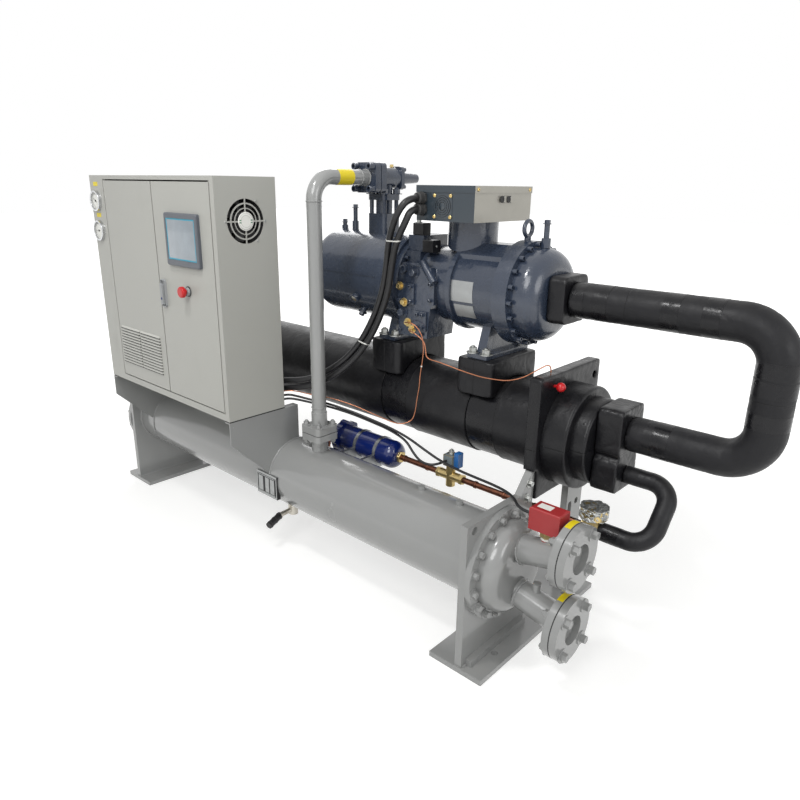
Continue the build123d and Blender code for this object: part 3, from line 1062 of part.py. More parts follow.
# Filter drier: a lobed cover flange, and a shell that ends in a dome with a union
drier_end = DRIER_START + DRIER_LENGTH
flange_end = DRIER_START + DRIER_FLANGE_THICK
with BuildPart() as filter_drier:
    rod((DRIER_START, LIQUID_Y, LIQUID_Z), (drier_end, LIQUID_Y, LIQUID_Z), DRIER_R)
    fillet(filter_drier.edges().filter_by(GeomType.CIRCLE).sort_by(Axis.X)[-1], DRIER_ROUND)
    with BuildSketch(Plane(origin=(DRIER_START, LIQUID_Y, LIQUID_Z), x_dir=(0, 1, 0), z_dir=(1, 0, 0))) as lobes:
        Circle(DRIER_FLANGE_R)
        with PolarLocations(DRIER_FLANGE_R - DRIER_LOBE_R / 2, DRIER_LOBES):
            Circle(DRIER_LOBE_R)
    extrude(lobes.sketch, amount=DRIER_FLANGE_THICK)
save(filter_drier, "filter_drier")

# Drier brackets: a steel strap round the drier on a plate that stands on the condenser vessel
with BuildPart() as drier_brackets:
    for strap_x in DRIER_STRAP_X:
        strap = (strap_x - DRIER_STRAP_WIDTH / 2, strap_x + DRIER_STRAP_WIDTH / 2)
        block(strap, (CONDENSER_Y, LIQUID_Y + DRIER_R / 2), (LIQUID_Z - DRIER_R - DRIER_STRAP_RISE, LIQUID_Z))
        rod((strap[0], LIQUID_Y, LIQUID_Z), (strap[1], LIQUID_Y, LIQUID_Z), DRIER_R + DRIER_STRAP_RISE)
    rod((DRIER_START, LIQUID_Y, LIQUID_Z), (drier_end, LIQUID_Y, LIQUID_Z), DRIER_R, Mode.SUBTRACT)
    rod((-SHEET_INNER_X, CONDENSER_Y, CONDENSER_Z), (SHEET_INNER_X, CONDENSER_Y, CONDENSER_Z),
        CONDENSER_R, Mode.SUBTRACT)
save(drier_brackets, "drier_brackets")

# Solenoid valve on the liquid line: brass body, bottom cap, and the coil with its plug
solenoid_ends = (SOLENOID_X - SOLENOID_LENGTH / 2, SOLENOID_X + SOLENOID_LENGTH / 2)
with BuildPart() as solenoid_valve:
    rod((solenoid_ends[0], LIQUID_Y, LIQUID_Z), (solenoid_ends[1], LIQUID_Y, LIQUID_Z), SOLENOID_R)
    rod((SOLENOID_X, LIQUID_Y, LIQUID_Z - SOLENOID_CAP_DROP), (SOLENOID_X, LIQUID_Y, LIQUID_Z + COIL_SIZE), SOLENOID_R)
    block((SOLENOID_X - COIL_SIZE / 2, SOLENOID_X + COIL_SIZE / 2),
          (LIQUID_Y - COIL_SIZE / 2, LIQUID_Y + COIL_SIZE / 2), (LIQUID_Z + COIL_SIZE, LIQUID_Z + 2 * COIL_SIZE))
    block((SOLENOID_X + COIL_SIZE / 2, SOLENOID_X + COIL_SIZE),
          (LIQUID_Y - COIL_SIZE / 3, LIQUID_Y + COIL_SIZE / 3), (LIQUID_Z + COIL_SIZE, LIQUID_Z + 2.3 * COIL_SIZE))
save(solenoid_valve, "solenoid_valve")

# Expansion valve: brass block under a round head
expansion_x = (EXPANSION_X - EXPANSION_BLOCK / 2, EXPANSION_X + EXPANSION_BLOCK / 2)
with BuildPart() as expansion_valve:
    block(expansion_x, (LIQUID_Y - EXPANSION_BLOCK / 3, LIQUID_Y + EXPANSION_BLOCK / 3),
          (LIQUID_Z - LIQUID_WRAP_R, EXPANSION_HEAD_LOW))
    rod((EXPANSION_X, LIQUID_Y, EXPANSION_HEAD_LOW), (EXPANSION_X, LIQUID_Y, EXPANSION_HEAD_TOP), EXPANSION_HEAD_R)
save(expansion_valve, "expansion_valve")

# Copper liquid line: from the outlet valve under the condenser vessel, up behind it to the drier,
# and on through the solenoid valve to the expansion valve
outlet_z = CONDENSER_Z - CONDENSER_R - OUTLET_DROP
with BuildPart() as liquid_line:
    with BuildLine() as outlet_path:
        FilletPolyline((0, CONDENSER_Y, outlet_z), (0, LIQUID_Y, outlet_z), (0, LIQUID_Y, LIQUID_Z),
                       (DRIER_START, LIQUID_Y, LIQUID_Z), radius=OUTLET_BEND)
    with BuildSketch(Plane(origin=(0, CONDENSER_Y, outlet_z), z_dir=(0, 1, 0))) as outlet_section:
        Circle(LIQUID_R)
    sweep(outlet_section.sketch, path=outlet_path.line)
    rod((0, CONDENSER_Y, outlet_z - OUTLET_BODY_R), (0, CONDENSER_Y, CONDENSER_Z), OUTLET_BODY_R)
    rod((-SHEET_INNER_X, CONDENSER_Y, CONDENSER_Z), (SHEET_INNER_X, CONDENSER_Y, CONDENSER_Z),
        CONDENSER_R, Mode.SUBTRACT)
    rod((0, CONDENSER_Y, outlet_z), OUTLET_STEM_END, OUTLET_BODY_R / 2)
    rod(OUTLET_STEM_END, OUTLET_CAP_END, OUTLET_CAP_R)
    rod((drier_end, LIQUID_Y, LIQUID_Z), (solenoid_ends[0], LIQUID_Y, LIQUID_Z), LIQUID_R)
    rod((solenoid_ends[1], LIQUID_Y, LIQUID_Z), (expansion_x[0], LIQUID_Y, LIQUID_Z), LIQUID_R)
save(liquid_line, "liquid_line")

# Insulated pipe from the expansion valve, in one loop up to the lower header box
loop_high = HEADER_LOW + HEADER_ENTRY_RISE
with BuildPart() as liquid_pipe:
    with BuildLine() as wrapped_path:
        FilletPolyline((expansion_x[1], LIQUID_Y, LIQUID_Z), (LOOP_END_X, LIQUID_Y, LIQUID_Z),
                       (LOOP_END_X, header_y, loop_high), (header_end, header_y, loop_high), radius=LOOP_BEND)
    with BuildSketch(Plane(origin=wrapped_path.line @ 0, z_dir=wrapped_path.line % 0)):
        Circle(LIQUID_WRAP_R)
    sweep(path=wrapped_path.line)
save(liquid_pipe, "liquid_pipe")

# Flow switch on the upper water nozzle
upper_nozzle_z = CONDENSER_Z + NOZZLE_SPREAD
switch_x = (SWITCH_X - SWITCH_LENGTH / 2, SWITCH_X + SWITCH_LENGTH / 2)
switch_y = (CONDENSER_Y - SWITCH_WIDTH / 2, CONDENSER_Y + SWITCH_WIDTH / 2)
stem_low = upper_nozzle_z - (WATER_FACE_X - SWITCH_X) * nozzle_rise
with BuildPart() as flow_switch:
    rod((SWITCH_X, CONDENSER_Y, stem_low), (SWITCH_X, CONDENSER_Y, SWITCH_LOW), SWITCH_STEM_R)
    rod((SHEET_OUTER_X, CONDENSER_Y, upper_nozzle_z - (WATER_FACE_X - SHEET_OUTER_X) * nozzle_rise),
        (WATER_FACE_X, CONDENSER_Y, upper_nozzle_z), NOZZLE_R, Mode.SUBTRACT)
    block(switch_x, switch_y, (SWITCH_LOW, SWITCH_TOP))
    fillet(flow_switch.faces().sort_by(Axis.Z)[-1].edges(), SWITCH_ROUND)
    gland_end_x = switch_x[0] - SWITCH_GLAND_REACH
    rod((switch_x[0], CONDENSER_Y, SWITCH_GLAND_Z), (gland_end_x, CONDENSER_Y, SWITCH_GLAND_Z), SWITCH_GLAND_R)
save(flow_switch, "flow_switch")

# Power cables, side by side from the terminal box down to the back of the cabinet
gland_face_y = box_y[0] - GLAND_REACH
outer_route = [(494, -84, 1350), (455, -74, 1290), (420, -52, 1232), (396, -34, 1160), (374, -26, 1083),
               (342, -24, 1004), (303, -26, 932), (262, -36, 863), (214, -66, 796), (150, -106, 742),
               (84, -150, 706)]
inner_route = [(504, -60, 1314), (474, -58, 1266), (446, -50, 1216), (422, -38, 1148), (400, -28, 1074),
               (368, -26, 994), (330, -28, 920), (288, -40, 850), (238, -72, 780), (172, -112, 722),
               (96, -156, 680)]
with BuildPart() as power_cables:
    for middle, gland_z, lead, entry_z in ((outer_route, GLAND_Z[0], CABLE_LEAD[0], CABLE_ENTRY_Z[0]),
                                           (inner_route, GLAND_Z[1], CABLE_LEAD[1], CABLE_ENTRY_Z[1])):
        route = [(GLAND_X, gland_face_y, gland_z), (GLAND_X, gland_face_y - lead, gland_z)] + middle
        route += [(CABLE_ENTRY_X, cabinet_back + CABLE_LEAD[1], entry_z), (CABLE_ENTRY_X, cabinet_back, entry_z)]
        print("power cable radii", [round(radius) for radius in cord(route, POWER_CABLE_R)])
save(power_cables, "power_cables")

# Control cables, from the cabinet to the flow switch over the tube sheet, and to the solenoid valve
coil_face_y = LIQUID_Y - COIL_SIZE / 2
coil_mid_z = LIQUID_Z + 1.5 * COIL_SIZE
switch_route = [(CONTROL_ENTRY_X, cabinet_back, CONTROL_ENTRY_Z[0]),
                (CONTROL_ENTRY_X, cabinet_back + CONTROL_LEAD, CONTROL_ENTRY_Z[0]), (56, -174, 639),
                (108, -158, 634), (172, -126, 626), (262, -86, 606),
                (350, -60, 586), (430, -50, 574), (518, -46, 558), (600, -46, 532), (680, -52, 514),
                (766, -60, 508), (850, -74, 512), (928, -90, 518), (989, -108, 522), (1036, -134, 524),
                (1078, CONDENSER_Y, SWITCH_GLAND_Z), (gland_end_x, CONDENSER_Y, SWITCH_GLAND_Z)]
valve_route = [(CONTROL_ENTRY_X, cabinet_back, CONTROL_ENTRY_Z[1]),
               (CONTROL_ENTRY_X, cabinet_back + CONTROL_LEAD, CONTROL_ENTRY_Z[1]), (56, -170, 624),
               (108, -152, 620), (172, -120, 612), (262, -80, 594),
               (350, -54, 574), (430, -44, 562), (508, -42, 542), (550, -50, 508), (592, -58, 488),
               (634, -56, 486), (SOLENOID_X - 6, -36, coil_mid_z), (SOLENOID_X - 6, coil_face_y, coil_mid_z)]
with BuildPart() as control_cable:
    for route in (switch_route, valve_route):
        print("control cable radii", [round(radius) for radius in cord(route, CONTROL_CABLE_R)])
save(control_cable, "control_cable")

# Capillary tubes: one from the control block down to the cables and along them to the cabinet,
# and one over to the top of the wrapped end plate
down_route = [(444, BODY_FACE_Y, 960), (444, 6, 960), (474, -4, 970), (508, 0, 962), (532, 6, 930),
              (538, 10, 885), (532, 12, 835), (522, 12, 782), (520, 12, 736), (510, 12, 688), (506, 10, 640),
              (499, 0, 604), (470, -26, 590), (430, -38, 592), (350, -46, 604), (262, -70, 626),
              (172, -112, 646), (108, -156, 654), (56, -168, 657),
              (CONTROL_ENTRY_X, cabinet_back + CONTROL_LEAD, CONTROL_ENTRY_Z[2]),
              (CONTROL_ENTRY_X, cabinet_back, CONTROL_ENTRY_Z[2])]
across_route = [(466, BODY_FACE_Y, 938), (466, 2, 938), (502, -6, 938), (548, 0, 912), (553, 2, 880),
                (558, 2, 851), (608, 6, 848), (656, 12, 840), (698, 16, 833), (742, 17, 829), (785, 16, 827),
                (835, 17, 829), (885, 18, 834), (940, 24, 854), (980, 44, 886), (1009, 72, 908),
                (1009, 72, PLATE_TOP)]
with BuildPart() as capillary_tubes:
    for route in (down_route, across_route):
        print("capillary radii", [round(radius) for radius in cord(route, CAPILLARY_R)])
save(capillary_tubes, "capillary_tubes")
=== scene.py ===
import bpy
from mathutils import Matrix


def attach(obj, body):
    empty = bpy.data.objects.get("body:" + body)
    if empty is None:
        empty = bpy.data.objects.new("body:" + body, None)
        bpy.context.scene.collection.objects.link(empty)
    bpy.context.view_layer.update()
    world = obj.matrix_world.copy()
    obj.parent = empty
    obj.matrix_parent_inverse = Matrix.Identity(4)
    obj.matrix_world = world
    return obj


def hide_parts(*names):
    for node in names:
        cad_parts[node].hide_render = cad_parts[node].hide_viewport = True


bl_info = {
    "name": "Water Chiller",
    "version": (1, 0, 0),
    "blender": (4, 5, 0),
    "location": "View3D > Sidebar > Chiller",
    "description": "Dresses the CAD model of a water chiller with finishes, fasteners, cables and small fittings",
    "category": "Object",
}

from math import cos, pi, radians, sin, tan

import bmesh
import bpy
from mathutils import Matrix, Vector, noise

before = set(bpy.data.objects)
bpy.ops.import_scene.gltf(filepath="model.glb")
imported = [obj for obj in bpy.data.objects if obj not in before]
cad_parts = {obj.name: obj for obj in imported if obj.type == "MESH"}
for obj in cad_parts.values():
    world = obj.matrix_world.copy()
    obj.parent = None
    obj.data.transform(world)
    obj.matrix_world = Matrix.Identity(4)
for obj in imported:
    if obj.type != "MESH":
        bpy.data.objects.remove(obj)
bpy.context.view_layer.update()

X, Y, Z = Vector((1, 0, 0)), Vector((0, 1, 0)), Vector((0, 0, 1))


# ------------------------------------------------------------------ sizes and colours


def length(name, description, default):
    """A size that the sidebar shows in units of length."""
    return bpy.props.FloatProperty(name=name, description=description, default=default, min=0.0001, max=1.0,
                                   precision=4, unit="LENGTH", subtype="DISTANCE")


def colour(name, description, red, green, blue):
    """A colour that the sidebar shows, given as a paint chart gives it, from 0 to 255."""
    linear = [((c / 255 + 0.055) / 1.055) ** 2.4 if c > 10 else c / 255 / 12.92 for c in (red, green, blue)]
    return bpy.props.FloatVectorProperty(name=name, description=description, default=linear, min=0, max=1,
                                         size=3, subtype="COLOR")


class ChillerSizes(bpy.types.PropertyGroup):
    """Sizes of what is added to the CAD model."""

    cover_bolt: length("Cover bolt", "Width across flats of the bolts round the water covers", 0.019)
    flange_bolt: length("Flange bolt", "Width across flats of the bolts through the water flanges", 0.024)
    foot_bolt: length("Foot bolt", "Width across flats of the bolts in the compressor's feet", 0.024)
    cap_screw: length("Cap screw", "Radius of the socket heads round the compressor's flanges", 0.0078)
    port_screw: length("Port screw", "Radius of the socket heads on the stop valve's port flange", 0.012)
    power_cable: length("Power cable", "Diameter of each power cable", 0.023)
    control_cable: length("Control cable", "Diameter of each control cable", 0.009)
    capillary: length("Capillary tube", "Diameter of each capillary tube", 0.004)
    weld_bead: length("Weld bead", "Radius of the weld beads", 0.004)
    lamp_power: bpy.props.FloatProperty(name="Lamp power", description="Power of the main lamp in watts",
                                        default=80.0, min=0.0)


class ChillerColours(bpy.types.PropertyGroup):
    """Colours of the machine's finishes."""

    vessel: colour("Vessel grey", "Glossy enamel on the condenser vessel and the feet", 145, 146, 145)
    cabinet: colour("Cabinet grey", "Textured powder coat on the cabinet", 173, 173, 167)
    casting: colour("Casting blue", "Glossy slate blue paint on the compressor's castings", 47, 56, 72)
    foam: colour("Foam black", "Foam insulation on the evaporator and the suction line", 20, 20, 23)
    rubber: colour("Rubber black", "Gaskets and strips", 24, 24, 25)
    drier: colour("Drier blue", "Enamel on the filter drier", 14, 34, 100)
    switch: colour("Switch red", "Moulded cover of the flow switch", 160, 42, 44)
    brass: colour("Brass", "Fittings of the liquid line", 190, 152, 84)
    copper: colour("Dark copper", "Copper tube darkened by brazing", 128, 84, 66)
    bright_copper: colour("Bright copper", "Thin capillary tube", 190, 128, 98)
    bolt: colour("Zinc", "Zinc plated fasteners", 176, 178, 176)
    cable: colour("Cable black", "Sheath of the cables", 26, 26, 28)
    plastic: colour("Plastic grey", "Bezel, latch plate and collar", 118, 122, 130)
    stop: colour("Stop red", "Head of the emergency stop", 190, 22, 26)
    chrome: colour("Chrome", "Rims of the gauges", 205, 206, 208)
    dial: colour("Dial white", "Faces of the gauges and blank white labels", 232, 232, 226)
    label: colour("Label yellow", "Blank yellow labels", 228, 206, 28)
    plate: colour("Plate steel", "Bare name plates", 168, 170, 170)
    galvanised: colour("Galvanised", "Bare sheet of the terminal box", 176, 173, 163)
    screen: colour("Screen glass", "Face of the touch screen", 134, 144, 152)
    bezel: colour("Bezel grey", "Bezel of the touch screen", 88, 92, 99)
    teal: colour("Screen frame", "Frame round the touch screen's face", 40, 146, 172)
    coil: colour("Coil grey", "Body of the solenoid coil", 112, 122, 126)
    coil_cap: colour("Coil blue", "Plug on the solenoid coil", 40, 104, 172)
    terminal: colour("Terminal green", "Slate paint on the terminal box", 45, 55, 63)
    floor: colour("Floor", "Plain pale floor", 214, 214, 212)


# ------------------------------------------------------------------ materials


class Amount:
    """A number in a material's nodes, so that masks and mixtures read as arithmetic."""

    def __init__(self, paint, socket):
        self.paint, self.socket = paint, socket

    def __add__(self, other):
        return self.paint.maths("ADD", self, other)

    def __sub__(self, other):
        return self.paint.maths("SUBTRACT", self, other)

    def __rsub__(self, other):
        return self.paint.maths("SUBTRACT", other, self)

    def __mul__(self, other):
        return self.paint.maths("MULTIPLY", self, other)

    def __truediv__(self, other):
        return self.paint.maths("DIVIDE", self, other)

    def __rtruediv__(self, other):
        return self.paint.maths("DIVIDE", other, self)

    def __gt__(self, other):
        return self.paint.maths("GREATER_THAN", self, other)

    def __lt__(self, other):
        return self.paint.maths("LESS_THAN", self, other)

    def __abs__(self):
        return self.paint.maths("ABSOLUTE", self)

    __radd__ = __add__
    __rmul__ = __mul__


class Tree:
    """A node tree that is written as arithmetic."""

    def __init__(self, tree):
        self.tree = tree

    def node(self, kind, settings=None, inputs=None, output=0):
        """Adds a node: first its settings, then the values or links of its sockets."""
        made = self.tree.nodes.new(kind)
        for key, value in (settings or {}).items():
            setattr(made, key, value)
        for key, value in (inputs or {}).items():
            self.feed(made.inputs[key], value)
        return Amount(self, made.outputs[output])

    def feed(self, socket, value):
        """Links an amount to a socket, or sets the socket's own value."""
        if isinstance(value, Amount):
            self.tree.links.new(value.socket, socket)
        else:
            socket.default_value = value

    def maths(self, operation, *values):
        """Works out an operation on amounts and numbers."""
        return self.node("ShaderNodeMath", {"operation": operation}, dict(enumerate(values)))


class Paint(Tree):
    """A finish under construction: its material, its nodes and the shader that they feed."""

    def __init__(self, name, colour, roughness, metallic=0.0, coat=0.0, coat_roughness=0.08, specular=0.5):
        self.material = bpy.data.materials.new(name)
        self.material.use_nodes = True
        super().__init__(self.material.node_tree)
        self.shader = self.tree.nodes["Principled BSDF"]
        self.colour = (*colour, 1)
        for socket, value in (("Base Color", self.colour), ("Roughness", roughness), ("Metallic", metallic),
                              ("Coat Weight", coat), ("Coat Roughness", coat_roughness),
                              ("Specular IOR Level", specular)):
            self.shader.inputs[socket].default_value = value
        self.material.diffuse_color = self.colour
        self.where = self.node("ShaderNodeTexCoord", output="Object")

    def axis(self, name):
        """The X, Y or Z place of the surface in metres."""
        if not hasattr(self, "split"):
            self.split = self.node("ShaderNodeSeparateXYZ", inputs={0: self.where}).socket.node
        return Amount(self, self.split.outputs[name])

    def facing(self, name):
        """How much the surface faces along X, Y or Z."""
        if not hasattr(self, "normal"):
            normal = self.node("ShaderNodeNewGeometry", output="Normal")
            self.normal = self.node("ShaderNodeSeparateXYZ", inputs={0: normal}).socket.node
        return Amount(self, self.normal.outputs[name])

    def noise(self, scale, detail=3.0, roughness=0.55, stretch=None):
        """Cloudy variation from 0 to 1, with a scale in waves per metre."""
        where = self.where
        if stretch:
            where = self.node("ShaderNodeVectorMath", {"operation": "MULTIPLY"}, {0: where, 1: stretch})
        return self.node("ShaderNodeTexNoise", inputs={"Vector": where, "Scale": scale, "Detail": detail,
                                                       "Roughness": roughness})

    def cells(self, scale):
        """The distance to the nearest of many scattered points, with a scale in points per metre."""
        return self.node("ShaderNodeTexVoronoi", inputs={"Vector": self.where, "Scale": scale}, output="Distance")

    def between(self, value, low, high, start=0.0, end=1.0):
        """Goes smoothly from start to end while a value goes from low to high."""
        return self.node("ShaderNodeMapRange", {"interpolation_type": "SMOOTHSTEP"},
                         {"Value": value, "From Min": low, "From Max": high, "To Min": start, "To Max": end})

    def band(self, value, low, high, soft=0.0015):
        """A mask that is 1 between two places and 0 outside them."""
        return self.between(value, low - soft, low + soft) * self.between(value, high - soft, high + soft, 1, 0)

    def shade(self, factor, first, second):
        """Mixes two colours."""
        mixed = self.node("ShaderNodeMix", {"data_type": "RGBA"})
        sockets = mixed.socket.node.inputs
        for index, value in ((0, factor), (6, first), (7, second)):
            self.feed(sockets[index], value)
        return Amount(self, mixed.socket.node.outputs[2])

    def tint(self, amount):
        """The finish's own colour, lighter or darker."""
        return tuple(min(1, c * amount) for c in self.colour[:3]) + (1,)

    def vary(self, scale=4.0, amount=0.06, detail=3.0):
        """Slight cloudy variation of the finish's own colour."""
        return self.shade(self.noise(scale, detail), self.tint(1 - amount), self.tint(1 + amount))

    def put(self, socket, value):
        """Feeds one of the shader's own sockets."""
        self.feed(self.shader.inputs[socket], value)

    def relief(self, height, strength=0.3, distance=0.001, over=None):
        """A bump from a height."""
        inputs = {"Height": height, "Strength": strength, "Distance": distance}
        if over:
            inputs["Normal"] = over
        return self.node("ShaderNodeBump", inputs=inputs)


def dusty(paint, base, amount=0.12, dust=(0.42, 0.40, 0.36, 1)):
    """Settled dust on what faces up, in soft patches."""
    mask = paint.between(paint.facing("Z"), 0.55, 0.98) * paint.between(paint.noise(9, 5), 0.35, 0.75)
    return paint.shade(mask * amount, base, dust)


def enamel(name, colour, roughness=0.20, orange_peel=0.12):
    """Glossy machine enamel with orange peel, soft runs, a little dust and rubbed patches."""
    paint = Paint(name, colour, roughness, coat=0.45, coat_roughness=0.06)
    rubbed = paint.between(paint.noise(9, 6), 0.55, 0.78)
    grime = paint.between(paint.noise(5, 7, 0.62), 0.56, 0.80)
    base = paint.shade(grime * 0.16, paint.vary(2.5, 0.025), paint.tint(0.70))
    nicks = paint.between(paint.noise(150, 2), 0.80, 0.83)
    paint.put("Base Color", dusty(paint, paint.shade(nicks * 0.5, base, paint.tint(0.35)), 0.10))
    paint.put("Roughness", roughness + rubbed * 0.10)
    runs = paint.noise(22, 3, 0.5, (1, 1, 0.35))
    paint.put("Normal", paint.relief(paint.noise(210, 2), orange_peel, 0.0008, paint.relief(runs, 0.10, 0.004)))
    return paint.material


def powder_coat(name, colour):
    """Finely textured powder coat with faint handling marks."""
    paint = Paint(name, colour, 0.42)
    marks = paint.between(paint.noise(6, 7, 0.62, (1, 1, 0.35)), 0.56, 0.76)
    base = paint.shade(marks * 0.12, paint.vary(1.6, 0.02), paint.tint(0.84))
    paint.put("Base Color", dusty(paint, base, 0.08))
    paint.put("Roughness", 0.38 + marks * 0.14 + paint.noise(420, 1) * 0.08)
    texture = paint.cells(900) + paint.noise(1500, 1) * 0.6
    paint.put("Normal", paint.relief(texture, 0.22, 0.0004))
    return paint.material


def painted_casting(name, colour, grain=0.30, gloss=0.20):
    """Cast iron under thick glossy paint: sand grain, soft lumps and a few thin places."""
    paint = Paint(name, colour, gloss, coat=0.50, coat_roughness=0.08)
    lumps, sand = paint.noise(30, 4), paint.noise(280, 3)
    worn = paint.between(paint.noise(60, 6), 0.70, 0.78)
    base = paint.shade(worn * 0.30, paint.vary(5.0, 0.14), paint.tint(1.9))
    paint.put("Base Color", dusty(paint, base, 0.08))
    paint.put("Roughness", gloss + paint.between(lumps, 0.35, 0.7) * 0.12)
    paint.put("Normal", paint.relief(sand, grain, 0.0011, paint.relief(lumps, 0.34, 0.007)))
    return paint.material


def foam_wrap(name, colour, bands=(), seams=(), gloss=0.30):
    """Black foam sheet under tape: soft swelling, fine skin, glossy bands and joint lines."""
    paint = Paint(name, colour, gloss, specular=0.30)
    skin, swell = paint.noise(520, 2), paint.noise(16, 3)
    tape = None
    for low, high in bands:
        mask = paint.band(paint.axis("X"), low, high)
        tape = mask if tape is None else tape + mask
    joint = None
    for axis, place in seams:
        mask = paint.band(paint.axis(axis), place - 0.0011, place + 0.0011, 0.0007)
        joint = mask if joint is None else joint + mask
    creases = paint.between(paint.noise(34, 5, 0.6), 0.56, 0.66)
    base = dusty(paint, paint.shade(paint.noise(6, 5), paint.tint(0.8), paint.tint(1.25)), 0.04)
    if joint is not None:
        base = paint.shade(joint, base, paint.tint(0.3))
    paint.put("Base Color", base)
    rough = gloss + paint.between(swell, 0.3, 0.7) * 0.16
    height = swell + creases * 0.10
    if tape is not None:
        rough = rough - tape * 0.12
    if joint is not None:
        height = height - joint * 0.5
    paint.put("Roughness", rough)
    paint.put("Normal", paint.relief(skin, 0.10, 0.0005, paint.relief(height, 0.30, 0.010)))
    return paint.material


def moulded(name, colour, roughness=0.38, grain=0.10):
    """Moulded plastic with a fine grain and slightly shinier rubbed places."""
    paint = Paint(name, colour, roughness)
    paint.put("Base Color", paint.vary(12, 0.06))
    paint.put("Roughness", roughness + paint.between(paint.noise(40, 4), 0.45, 0.75) * 0.14)
    paint.put("Normal", paint.relief(paint.noise(900, 2), grain, 0.0004))
    return paint.material


def rubber(name, colour):
    """Dull rubber with a chalky bloom."""
    paint = Paint(name, colour, 0.62)
    paint.put("Base Color", paint.shade(paint.noise(70, 5), paint.tint(0.8), paint.tint(2.2)))
    paint.put("Roughness", 0.55 + paint.noise(55, 3) * 0.25)
    paint.put("Normal", paint.relief(paint.noise(420, 3), 0.25, 0.0005))
    return paint.material


def bare_metal(name, colour, roughness=0.30, stains=0.5, stain=(0.10, 0.07, 0.05, 1), scale=30.0, brushed=None):
    """Bare metal with stains, tarnish and fine scratches."""
    paint = Paint(name, colour, roughness, metallic=1.0)
    tarnish = paint.between(paint.noise(scale, 6), 0.42, 0.74)
    paint.put("Base Color", paint.shade(tarnish * stains, paint.vary(18, 0.10), stain))
    scratches = paint.noise(260, 2, 0.5, brushed or (1, 1, 1))
    paint.put("Roughness", roughness + tarnish * 0.22 + scratches * 0.10)
    paint.put("Normal", paint.relief(scratches, 0.10, 0.0004))
    return paint.material


def label_stock(name, colour):
    """Printed film: smooth, faintly uneven, with a grubby edge."""
    paint = Paint(name, colour, 0.34)
    paint.put("Base Color", paint.shade(paint.between(paint.noise(85, 5), 0.60, 0.80) * 0.4, paint.vary(9, 0.04),
                                        paint.tint(0.62)))
    paint.put("Roughness", 0.30 + paint.noise(60, 3) * 0.16)
    paint.put("Normal", paint.relief(paint.noise(120, 2), 0.08, 0.0004))
    return paint.material


# ------------------------------------------------------------------ modelling


FLAT = 0.99  # how squarely a flat face looks one way
VESSEL = ("vessel_grey", "vessel_enamel")  # slots with their finishes
CASTING = ("casting_blue", "machined_paint")
ZINC = ("plate_metal", "zinc")
BRASS = ("brass", "brass")
BLACK = ("black_plastic", "black_plastic")
PLATE = ("plate_metal", "plate_steel")
SHADE = ("black_plastic", "slot_shade")
YELLOW = ("grey_plastic", "yellow_label")

# Where the CAD has its main forms, in millimetres.
CONDENSER = (-175, 318)  # Y and Z of each vessel's, the compressor's and the liquid line's axis
EVAPORATOR = (175, 655)
COMPRESSOR = (175, 1095)
LIQUID_LINE = (25, 430)
DISCHARGE = (183, -175)  # X and Y of the discharge pipe's axis
VALVE_X, VALVE_Z = 183, 1453  # the stop valve
SUCTION_X = 1612  # the suction pipe's upright limb
FLANGE_HEIGHTS = (436, 200)  # Z of the two water flanges
FAN_Y, FAN_Z = -352, 1303
GUARD_X, GUARD_Z = 601, 1365  # the round guard on the terminal box
GAUGE_X, GAUGES = -830, ((1350, -62), (1232, -88))  # Z of each gauge, with its pointer's angle


def begin(kind, place=(0, 0, 0), turn=(0, 0, 0), **size):
    """Adds a primitive by itself at its place, opens it for shaping and returns it."""
    if bpy.context.object and bpy.context.object.mode == "EDIT":
        bpy.ops.object.mode_set(mode="OBJECT")
    bpy.ops.object.select_all(action="DESELECT")
    getattr(bpy.ops.mesh, f"primitive_{kind}_add")(location=place, rotation=turn, **size)
    piece = bpy.context.object
    bpy.ops.object.transform_apply(location=True, rotation=True, scale=True)
    bpy.ops.object.mode_set(mode="EDIT")
    return piece


def also(kind, place=(0, 0, 0), turn=(0, 0, 0), **size):
    """Adds another primitive to the piece being shaped. Only the new one is left selected."""
    bpy.ops.mesh.select_all(action="DESELECT")
    getattr(bpy.ops.mesh, f"primitive_{kind}_add")(location=place, rotation=turn, **size)


def pick(test, kind="FACE"):
    """Selects the faces or edges whose centre and normal or direction pass a test."""
    shape = bmesh.from_edit_mesh(bpy.context.object.data)
    bpy.ops.mesh.select_mode(type=kind)
    chosen = []
    for item in shape.faces if kind == "FACE" else shape.edges:
        if kind == "FACE":
            centre, way = item.calc_center_median(), item.normal
        else:
            first, last = (v.co for v in item.verts)
            centre, way = (first + last) / 2, (last - first).normalized()
        if test(centre, way):
            chosen.append(item)
    bpy.ops.mesh.select_all(action="DESELECT")
    for item in chosen:
        item.select_set(True)
    shape.select_flush_mode()
    bmesh.update_edit_mesh(bpy.context.object.data)
    if not chosen:
        raise RuntimeError("nothing to shape was found at that place")


def rod(place, radius, depth, sides, turn=(0, 0, 0), start=begin):
    """A cylinder along Z, or turned."""
    return start("cylinder", place, turn, vertices=sides, radius=radius, depth=depth)


def reshape(move):
    """Moves every vertex of the form that is being shaped."""
    shape = bmesh.from_edit_mesh(bpy.context.object.data)
    for vertex in shape.verts:
        vertex.co = move(vertex.co)
    bmesh.update_edit_mesh(bpy.context.object.data)


def facing(way):
    """Selects the flat faces that look one way."""
    pick(lambda centre, normal: normal.dot(way) > FLAT)


def ends():
    """Selects both ends of a form that lies along Z."""
    pick(lambda centre, normal: abs(normal.z) > FLAT)


def insets(*rims, each=False):
    """Insets the chosen faces once for every rim, given as its width and its depth."""
    for width, depth in rims:
        bpy.ops.mesh.inset(thickness=width, depth=depth, use_individual=each)


def stretch(size, centre=(0, 0, 0)):
    """Stretches what is selected about a centre."""
    bpy.ops.transform.resize(value=tuple(size), center_override=centre)


